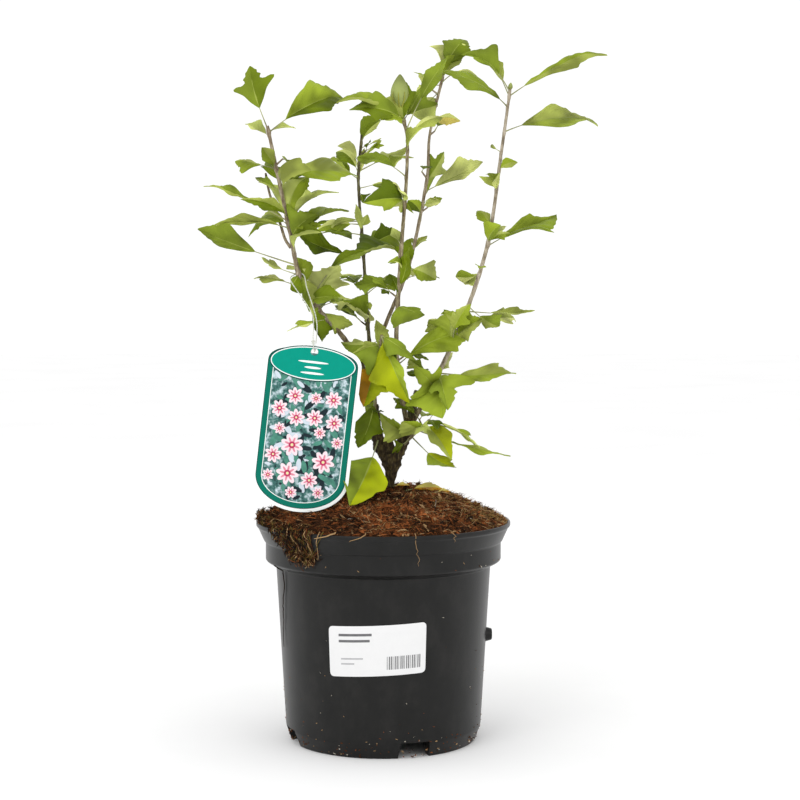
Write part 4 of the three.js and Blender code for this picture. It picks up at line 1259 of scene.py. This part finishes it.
def seeded_nodes(start, end, gap, seed):
    """Old leaf scars up a bare limb, each turned by the golden angle from the last"""
    rng = np.random.default_rng(seed)
    heights = np.arange(start + 6, end, gap)
    return [
        (height + rng.uniform(-gap, gap) * 0.3, SPUR.turn * index + seed * 40)
        for index, height in enumerate(heights)
    ]


# Growth, by the solids' rule

def leaf_frame(foot, heading, rise, reach, lean):
    way = direction(heading, rise)
    face = np.array([0, -math.sin(radians(lean)), math.cos(radians(lean))])
    face = unit(face - way * (face @ way))
    return Sizes(foot=foot, way=way, face=face, side=np.cross(way, face), reach=reach)


def leaf_marks(leaf):
    """The points over a leaf that keep it clear of other things"""
    share = np.linspace(0.1, 1, 10)[:, None]
    half = np.interp(share, LEAF.along, LEAF.half_width) * leaf.reach
    across = np.array([-1, -0.5, 0, 0.5, 1]) * np.maximum(half, LEAF.stalk)
    lift = leaf.reach * LEAF.arch * 4 * share * (1 - share)
    fold = radians(LEAF.fold)
    marks = (
        leaf.foot + (leaf.way * leaf.reach) * share[..., None]
        + leaf.side * (across * math.cos(fold))[..., None]
        + leaf.face * (lift + np.abs(across) * math.sin(fold))[..., None]
    )
    return marks.reshape(-1, 3)


# What stands where: pairs of an owner's name and points
taken = []


def take(owner, marks):
    taken.append((owner, np.atleast_2d(marks)))


def take_line(owner, line, start, end):
    take(owner, line.at(np.arange(start, end + 1e-9, 3)))


def is_free(owner, marks):
    """Whether a twig or leaf of a mass stays in the mass's own space, above the soil"""
    if (marks[:, 2] <= soil_height(np.hypot(marks[:, 0], marks[:, 1])) + 2).any():
        return False
    others = np.vstack([points for name, points in taken if name != owner])
    low, high = marks.min(0) - OWN_SPACE, marks.max(0) + OWN_SPACE
    near = others[((others > low) & (others < high)).all(1)]
    return not len(near) or np.linalg.norm(near[:, None] - marks, axis=-1).min() > OWN_SPACE


def spurs_of(shoot, line):
    """The seeded side twigs of one shoot, each with a foot, a tip and two leaves"""
    next_number = seeded_numbers(shoot.seed)
    start = max(shoot.leafy, line.foot + 12) + 6
    spurs = []
    for index in range(shoot.spurs):
        height = start + (line.top - start - 4) * (index + 0.6 * next_number()) / shoot.spurs
        heading = SPUR.turn * (index + 2 * next_number())
        foot = line.at(height)
        tip = foot + direction(heading, 35) * SPUR.length * (0.7 + 0.6 * next_number())
        leaves = []
        for hand in (-1, 1):
            leaf_heading = heading + hand * SPUR.spread * (0.6 + 0.8 * next_number())
            away = max(math.sin(radians(leaf_heading)), 0)
            reach = SPUR.leaf_reach * (0.75 + 0.6 * next_number()) + SPUR.far_reach * away
            rise = -15 + 60 * next_number()
            leaves.append(leaf_frame(tip, leaf_heading, rise, reach, 10 + 50 * next_number()))
        spurs.append(Sizes(foot=foot, tip=tip, leaves=leaves))
    return spurs


# Leaves

# The grid of a blade. Each row runs from a place on the midrib forward to a place on the blade's edge, as
# the side veins do. Places are shares of the blade's length, and those on the edge are along and out from
# the midrib. A blade's edge lies between the plain one and the one with three blunt lobes.
BLADE_ROWS = [
    0, 0.02, 0.05, 0.08, 0.11, 0.14, 0.17, 0.21, 0.25, 0.29, 0.33, 0.38,
    0.43, 0.48, 0.53, 0.58, 0.63, 0.68, 0.73, 0.79, 0.85, 0.92, 1,
]
LOBED_EDGE = [
    (0, 0), (0.09, 0.065), (0.18, 0.125), (0.27, 0.18), (0.35, 0.235), (0.42, 0.295), (0.49, 0.355),
    (0.55, 0.4), (0.6, 0.415), (0.63, 0.385), (0.625, 0.32), (0.615, 0.255), (0.625, 0.2), (0.66, 0.17),
    (0.7, 0.17), (0.74, 0.178), (0.77, 0.16), (0.8, 0.13), (0.835, 0.12), (0.87, 0.11), (0.905, 0.08),
    (0.95, 0.045), (1, 0),
]
PLAIN_EDGE = [
    (0, 0), (0.09, 0.075), (0.18, 0.145), (0.27, 0.205), (0.35, 0.25), (0.42, 0.28), (0.485, 0.3),
    (0.54, 0.31), (0.585, 0.31), (0.625, 0.305), (0.66, 0.29), (0.69, 0.272), (0.72, 0.252),
    (0.748, 0.235), (0.775, 0.217), (0.8, 0.197), (0.825, 0.173), (0.85, 0.15), (0.88, 0.125), (0.91, 0.1),
    (0.945, 0.07), (0.975, 0.037), (1, 0),
]
LEAF_THICK = 0.36


class BladeGrid:
    """The rows and columns of a blade, taking one in `every` of the rows above. The columns are shares of
    the half width, and the first stands beside the midrib."""

    def __init__(self, every, columns):
        self.row = np.array(BLADE_ROWS[::every])[:, None]
        self.lobed = np.array(LOBED_EDGE[::every])
        self.plain = np.array(PLAIN_EDGE[::every])
        self.column = np.array([*[-c for c in columns[::-1]], *columns])
        self.panel = np.sin(math.pi * np.arange(len(self.row)) * every / 4)[:, None] ** 2
        self.faces = slab_faces(len(self.row), len(self.column))
        rows, places = np.indices((len(self.row) - 1, len(self.column) - 1))
        self.midrib = ((places == len(columns) - 1) & (rows < len(self.row) * 0.7)).ravel()
        self.left = (places < len(columns) - 1).ravel()


FINE_BLADE = BladeGrid(1, [0.035, 0.16, 0.32, 0.5, 0.68, 0.85, 1.0])
SMALL_BLADE = BladeGrid(2, [0.05, 0.34, 0.7, 1.0])


def leaf_habit(number, tints, **given):
    """How a leaf differs from the next: what is given, and the rest seeded by its number. `uneven` makes
    one half wider than the other, and `stalk` is the stalk's share of the reach."""
    rng = np.random.default_rng(number)
    habit = dict(
        tints=tints.split(), width=1.0, uneven=0.0, lobes=0.6, arch=0.08, hook=0.3, sway=0.0, stalk=0.22,
        fold=20, twist=0.0, crinkle=rng.uniform(0.03, 0.1), roll=rng.uniform(-0.1, 0.4),
        wave=rng.uniform(0.015, 0.06), start=rng.uniform(0, 6.28),
    )
    return Sizes(**{**habit, **given})


def add_blade(shell, points, grid, tints):
    """The two skins of a blade. Each half has its tint, a darker or lighter green that paints the shade or
    light on that half, and the midrib its own.
    """
    number = LEAF_LOOKS.index
    looks = []
    for under in ("", "_under"):
        left, right = (number(tint + under) for tint in tints)
        looks.append(np.where(grid.midrib, number("vein"), np.where(grid.left, left, right)))
    normals = unit(np.cross(np.gradient(points, axis=1), np.gradient(points, axis=0)))
    add_slab(shell, points, normals, LEAF_THICK, grid.faces, np.concatenate(looks))


def add_leaf(shell, leaf, habit):
    """One leaf: its blade and its stalk"""
    grid = FINE_BLADE if leaf.reach > 21 else SMALL_BLADE
    length = leaf.reach * (1 - habit.stalk)
    row, column, size = grid.row, grid.column, np.abs(grid.column)
    edge = mix(grid.plain, grid.lobed, habit.lobes)
    uneven = 1 + habit.crinkle * np.sin(TURN * 5.5 * row + habit.start)
    along = row + (edge[:, :1] - row) * size
    width = habit.width * (1 + habit.uneven * np.sign(column))
    out = edge[:, 1:] * uneven * size * width * length + 0.15 * size

    # The shape in depth: an arch and a hooked tip along the midrib, then both halves folded up, rolled
    # over and wavy towards their edges, with raised panels between the veins
    share = mix(habit.stalk, 1, along)
    midrib = leaf.reach * habit.arch * 4 * share * (1 - share)
    midrib = midrib - habit.hook * length * np.clip(along - 0.68, 0, None) ** 2
    fold = radians(habit.fold) * (1 - 0.35 * along)
    flat = np.sign(column) * out * np.cos(fold)
    high = out * (np.sin(fold) - habit.roll * size * size)
    beat = TURN * 1.6 * along + habit.start + 1.3 * np.sign(column)
    high = high + habit.wave * length * np.sin(beat) * size * size * np.sin(math.pi * along)
    high = high + 0.02 * length * grid.panel * 4 * size * (1 - size)
    turn = habit.twist * along ** 1.4
    across = flat * np.cos(turn) - high * np.sin(turn) + habit.sway * length * along ** 2
    depth = flat * np.sin(turn) + high * np.cos(turn) + midrib
    points = (
        leaf.foot + leaf.way * (leaf.reach * share)[..., None] + leaf.side * across[..., None]
        + leaf.face * depth[..., None]
    )
    add_blade(shell, points, grid, habit.tints)

    share = np.linspace(0, habit.stalk + 0.015, 7)
    lift = leaf.reach * habit.arch * 4 * share * (1 - share)
    path = leaf.foot + np.outer(share * leaf.reach, leaf.way) + np.outer(lift, leaf.face)
    thick = min(1, leaf.reach / 40) ** 0.5
    add_rod(shell, path, thick * np.linspace(0.62, 0.34, 7), "stalk")


def add_bud(shell, foot, way, radius, height):
    """A flower bud: an egg in its ribbed calyx, with a ring of narrow bracts round its foot"""
    angles = circle(30)
    share = np.linspace(0, 1, 22)
    girth = radius * np.sin(math.pi * np.clip(share * 0.93 + 0.05, 0, 1) ** 0.85) ** 0.8 + 0.05
    ribs = 1 + 0.05 * np.cos(5 * angles) * np.sin(math.pi * share)[:, None]
    across = unit(np.cross(way, AWAY))
    beside = np.cross(way, across)
    out = swung(across, beside, angles)
    middles = foot + np.outer(share * height, way)
    add_rings(shell, middles[:, None] + out * (girth[:, None] * ribs)[..., None], "bud")
    t = np.linspace(0, 1, 8)
    for aside in swung(across, beside, circle(9)):
        spread = np.outer(radius * (0.4 + 0.66 * np.sin(t * 2)), aside)
        path = foot + spread + np.outer(t * height * 0.45, way)
        add_rod(shell, path, 0.11 * radius * np.linspace(1, 0.3, 8), "bud_foot")


# The buds at the tips of three shoots: how deep each sits on its tip, which way it points, its radius and
# its height
BUDS = {
    "third": (1.5, (0, 0, 1), 6.5, 24), "right": (0, (0.1, -0.1, 1), 1.6, 5),
    "fourth": (0, (0.1, -0.1, 1), 1.6, 5),
}
# The left shoot's side twig, which ends in a dark dead tip
SIDE_TWIG = [(-68, -16, 367), (-72, -12, 373), (-76, -8, 385), (-84, -4, 407), (-87, -2, 422)]

# The limbs' middle lines and the shoots' stems, as they are made
lines = {"trunk": LimbLine(TRUNK.knots)}
stems = {}


def line_of(limb):
    return LimbLine([lines[limb.parent].at(limb.start), *limb.knots])


def make_limbs():
    """The trunk, its arms and the cut stubs"""
    trunk = lines["trunk"]
    shell = Shell("trunk_bark", "cut_wood")
    radius_at = bark_radius(TRUNK_BARK)
    nodes = [(198, 200), (205, 20)]
    rings = limb_rings(trunk, trunk.foot, trunk.top, radius_at, 0.1, nodes, 48, 0.5, 31)
    rings[0, :, 2] = trunk.foot
    add_rings(shell, rings, "trunk_bark")
    web = LimbLine(WEB.knots)
    rings = limb_rings(web, web.foot, web.top, bark_radius(WEB_BARK), 0.1, [], 40, 0.5, 32)
    add_rings(shell, rings, "trunk_bark")
    shell.piece("trunk_bark", "bark", replaces=["trunk"])
    take_line("trunk", trunk, trunk.foot, trunk.top)
    for seed, (name, limb) in enumerate(LIMBS.items(), 40):
        line = lines[name] = line_of(limb)
        nodes = seeded_nodes(line.foot + 6, line.top, 11, seed)
        nodes.append((line.top - 1.5, 90))
        shell = Shell("dark_bark" if "stub" in name else "trunk_bark", "cut_wood")
        radius_at = limb_radius(line, limb, flare=0.4)
        rings = limb_rings(line, line.foot, line.top, radius_at, 0.08, nodes, 36, 0.6, seed)
        add_rings(shell, rings, shell.looks[0], top="cut_wood")
        shell.piece(f"{name}_bark", "bark", replaces=[name])
        take_line(name, line, limb.start + 6, line.top - OWN_SPACE)


def make_boughs():
    """Each shoot's bare bough, and the stem that goes on from it through its mass of foliage"""
    for name, shoot in SHOOTS.items():
        line = lines[name] = line_of(shoot)
        nodes = [row[:2] for row in LEAVES[name]]
        nodes += seeded_nodes(line.foot + 8, shoot.leafy, 17, shoot.seed)
        radius_at = limb_radius(line, shoot, slimness=0.8)
        rings = limb_rings(line, line.foot, line.top, radius_at, 0.05, nodes, seed=shoot.seed)
        heights = rings[:, :, 2].mean(1)
        bare = int((heights < shoot.leafy).sum())
        if bare:
            look = "dark_bark" if shoot.bark == "dark_bark" else "bough_bark"
            shell = Shell(look)
            add_rings(shell, rings[:bare + 1], look)
            shell.piece(f"{name}_bough_bark", "bark", replaces=[f"{name}_bough"])
            take_line(f"{name}_bough", line, shoot.start + 8, shoot.leafy - GAP - OWN_SPACE)
        stems[name] = Shell(shoot.bark, "dark_bark", "cut_wood", "stalk")
        add_rings(stems[name], rings[max(bare - 1, 0):], shoot.bark, top="cut_wood")


def make_foliage():
    """Every mass: the leaves of the table first, then the seeded twigs with theirs"""
    shells = {name: Shell(*LEAF_LOOKS) for name in SHOOTS}
    for name, shoot in SHOOTS.items():
        start = max(shoot.leafy, shoot.start)
        take_line(name, lines[name], start + 8 if start == shoot.start else start, lines[name].top)

    def grow(name, leaf, habit):
        marks = leaf_marks(leaf)
        if is_free(name, marks):
            add_leaf(shells[name], leaf, habit)
            take(name, marks)

    number = 0
    for name, leaves in LEAVES.items():
        for height, heading, rise, reach, lean, tints, *habits in leaves:
            given = {habit: value * scale for value, (habit, scale) in zip(habits, HABITS.items())}
            leaf = leaf_frame(lines[name].at(height), heading, rise, reach, lean)
            grow(name, leaf, leaf_habit(number, tints, **given))
            number += 1
    rng = np.random.default_rng(77)
    for name, shoot in SHOOTS.items():
        for place, spur in enumerate(spurs_of(shoot, lines[name])):
            left_out = OPEN.get(name, ())
            shown = [leaf for hand, leaf in enumerate(spur.leaves) if 2 * place + hand not in left_out]
            if shown and is_free(name, spur.tip[None]):
                path = mix(spur.foot, spur.tip, np.linspace(0, 1, 6)[:, None])
                add_rod(stems[name], path, SPUR.radius * np.linspace(1.1, 0.8, 6), shoot.bark)
            for leaf in shown:
                tint = rng.choice(["deep", "dark", "mid", "fresh"])
                number += 1
                grow(name, leaf, leaf_habit(number, f"{tint} {tint}", twist=rng.uniform(-0.5, 0.5)))

    for name, (depth, way, radius, height) in BUDS.items():
        tip = lines[name].at(lines[name].top) - [0, 0, depth]
        add_bud(shells[name], tip, unit(np.array(way)), radius, height)

    for name in SHOOTS:
        shells[name].piece(f"{name}_leaves", "foliage", replaces=[f"{name}_foliage"], sharp=60)
        stems[name].piece(f"{name}_stems", "bark")


def make_side_twig():
    path = smooth_path(SIDE_TWIG, 30)
    add_rod(stems["left"], path, np.linspace(1.25, 0.8, 30), "rosy_bark", sides=10)
    add_rod(stems["left"], path[-4:] + [0, 0, 0.3], [0.85, 1.0, 1.0, 0.5], "dark_bark", sides=10)


# Yellow leaves that have dropped on the soil beside the trunk: x, y, heading, reach, tints
FALLEN = [
    (17, 3, 4, 28, "gold amber"), (7, 1, 12, 13, "gold amber"), (38, -10, 20, 13, "gold amber"),
    (-30, 30, 150, 22, "amber gold"),
]


def make_fallen_leaves():
    shell = Shell(*LEAF_LOOKS)
    for number, (x, y, heading, reach, tints) in enumerate(FALLEN, 300):
        foot = np.array([x, y, soil_surface(np.array(x, float), np.array(y, float)) + 1.2])
        add_leaf(shell, leaf_frame(foot, heading, 3, reach, 20), leaf_habit(number, tints, arch=0.06))
    shell.piece("fallen_leaves", "foliage")


# Stage, light and camera

def aim(thing, place, target):
    thing.location = np.array(place) * MM
    way = np.array(target) - np.array(place)
    level = math.hypot(way[0], way[1])
    thing.rotation_euler = (math.atan2(level, -way[2]), 0, math.atan2(-way[0], way[1]))


def add_light(name, place, target, size, power):
    light = bpy.data.lights.new(name, "AREA")
    light.size = size * MM
    light.energy = power
    lamp = bpy.data.objects.new(name, light)
    bpy.context.scene.collection.objects.link(lamp)
    aim(lamp, place, target)


def make_stage():
    floor = Shell("floor")
    add_cap(floor, polar(9000, circle(64), 0), "floor")
    mesh = bpy.data.meshes.new("floor")
    mesh.from_pydata(np.concatenate(floor.points) * MM, [], floor.faces)
    colors = [paint((246, 246, 246)), paint((250, 250, 250))]
    mesh.materials.append(new_material("floor", colors, 0.9, 0.5, grain=400))
    ground = bpy.data.objects.new("floor", mesh)
    bpy.context.scene.collection.objects.link(ground)

    world = bpy.data.worlds.new("studio")
    world.use_nodes = True
    background = world.node_tree.nodes["Background"]
    background.inputs["Color"].default_value = (1, 1, 1, 1)
    background.inputs["Strength"].default_value = 1.06
    bpy.context.scene.world = world
    middle = (0, 0, 280)
    add_light("key", (-900, -1500, 1500), middle, 1100, 10)
    add_light("fill", (1300, -1100, 900), middle, 1100, 3)
    bpy.context.scene.view_settings.view_transform = "Standard"


def make_camera():
    lens = bpy.data.cameras.new("camera")
    lens.lens = CAMERA.lens
    lens.sensor_width = CAMERA.sensor
    camera = bpy.data.objects.new("camera", lens)
    bpy.context.scene.collection.objects.link(camera)
    camera.location = np.array(CAMERA.place) * MM
    camera.rotation_euler = (radians(90 - CAMERA.pitch), 0, 0)
    bpy.context.scene.camera = camera


make_camera()
make_stage()
make_pot()
make_knob()
make_pot_dirt()
make_soil()
make_peat()
make_moss()
make_roots()
make_label()
make_tag()
make_limbs()
make_boughs()
string = string_knots(lines["left"].at(STRING.hook_height))
make_string(string)
take("tag_string", smooth_loop(string, 60))
make_side_twig()
make_foliage()
make_fallen_leaves()
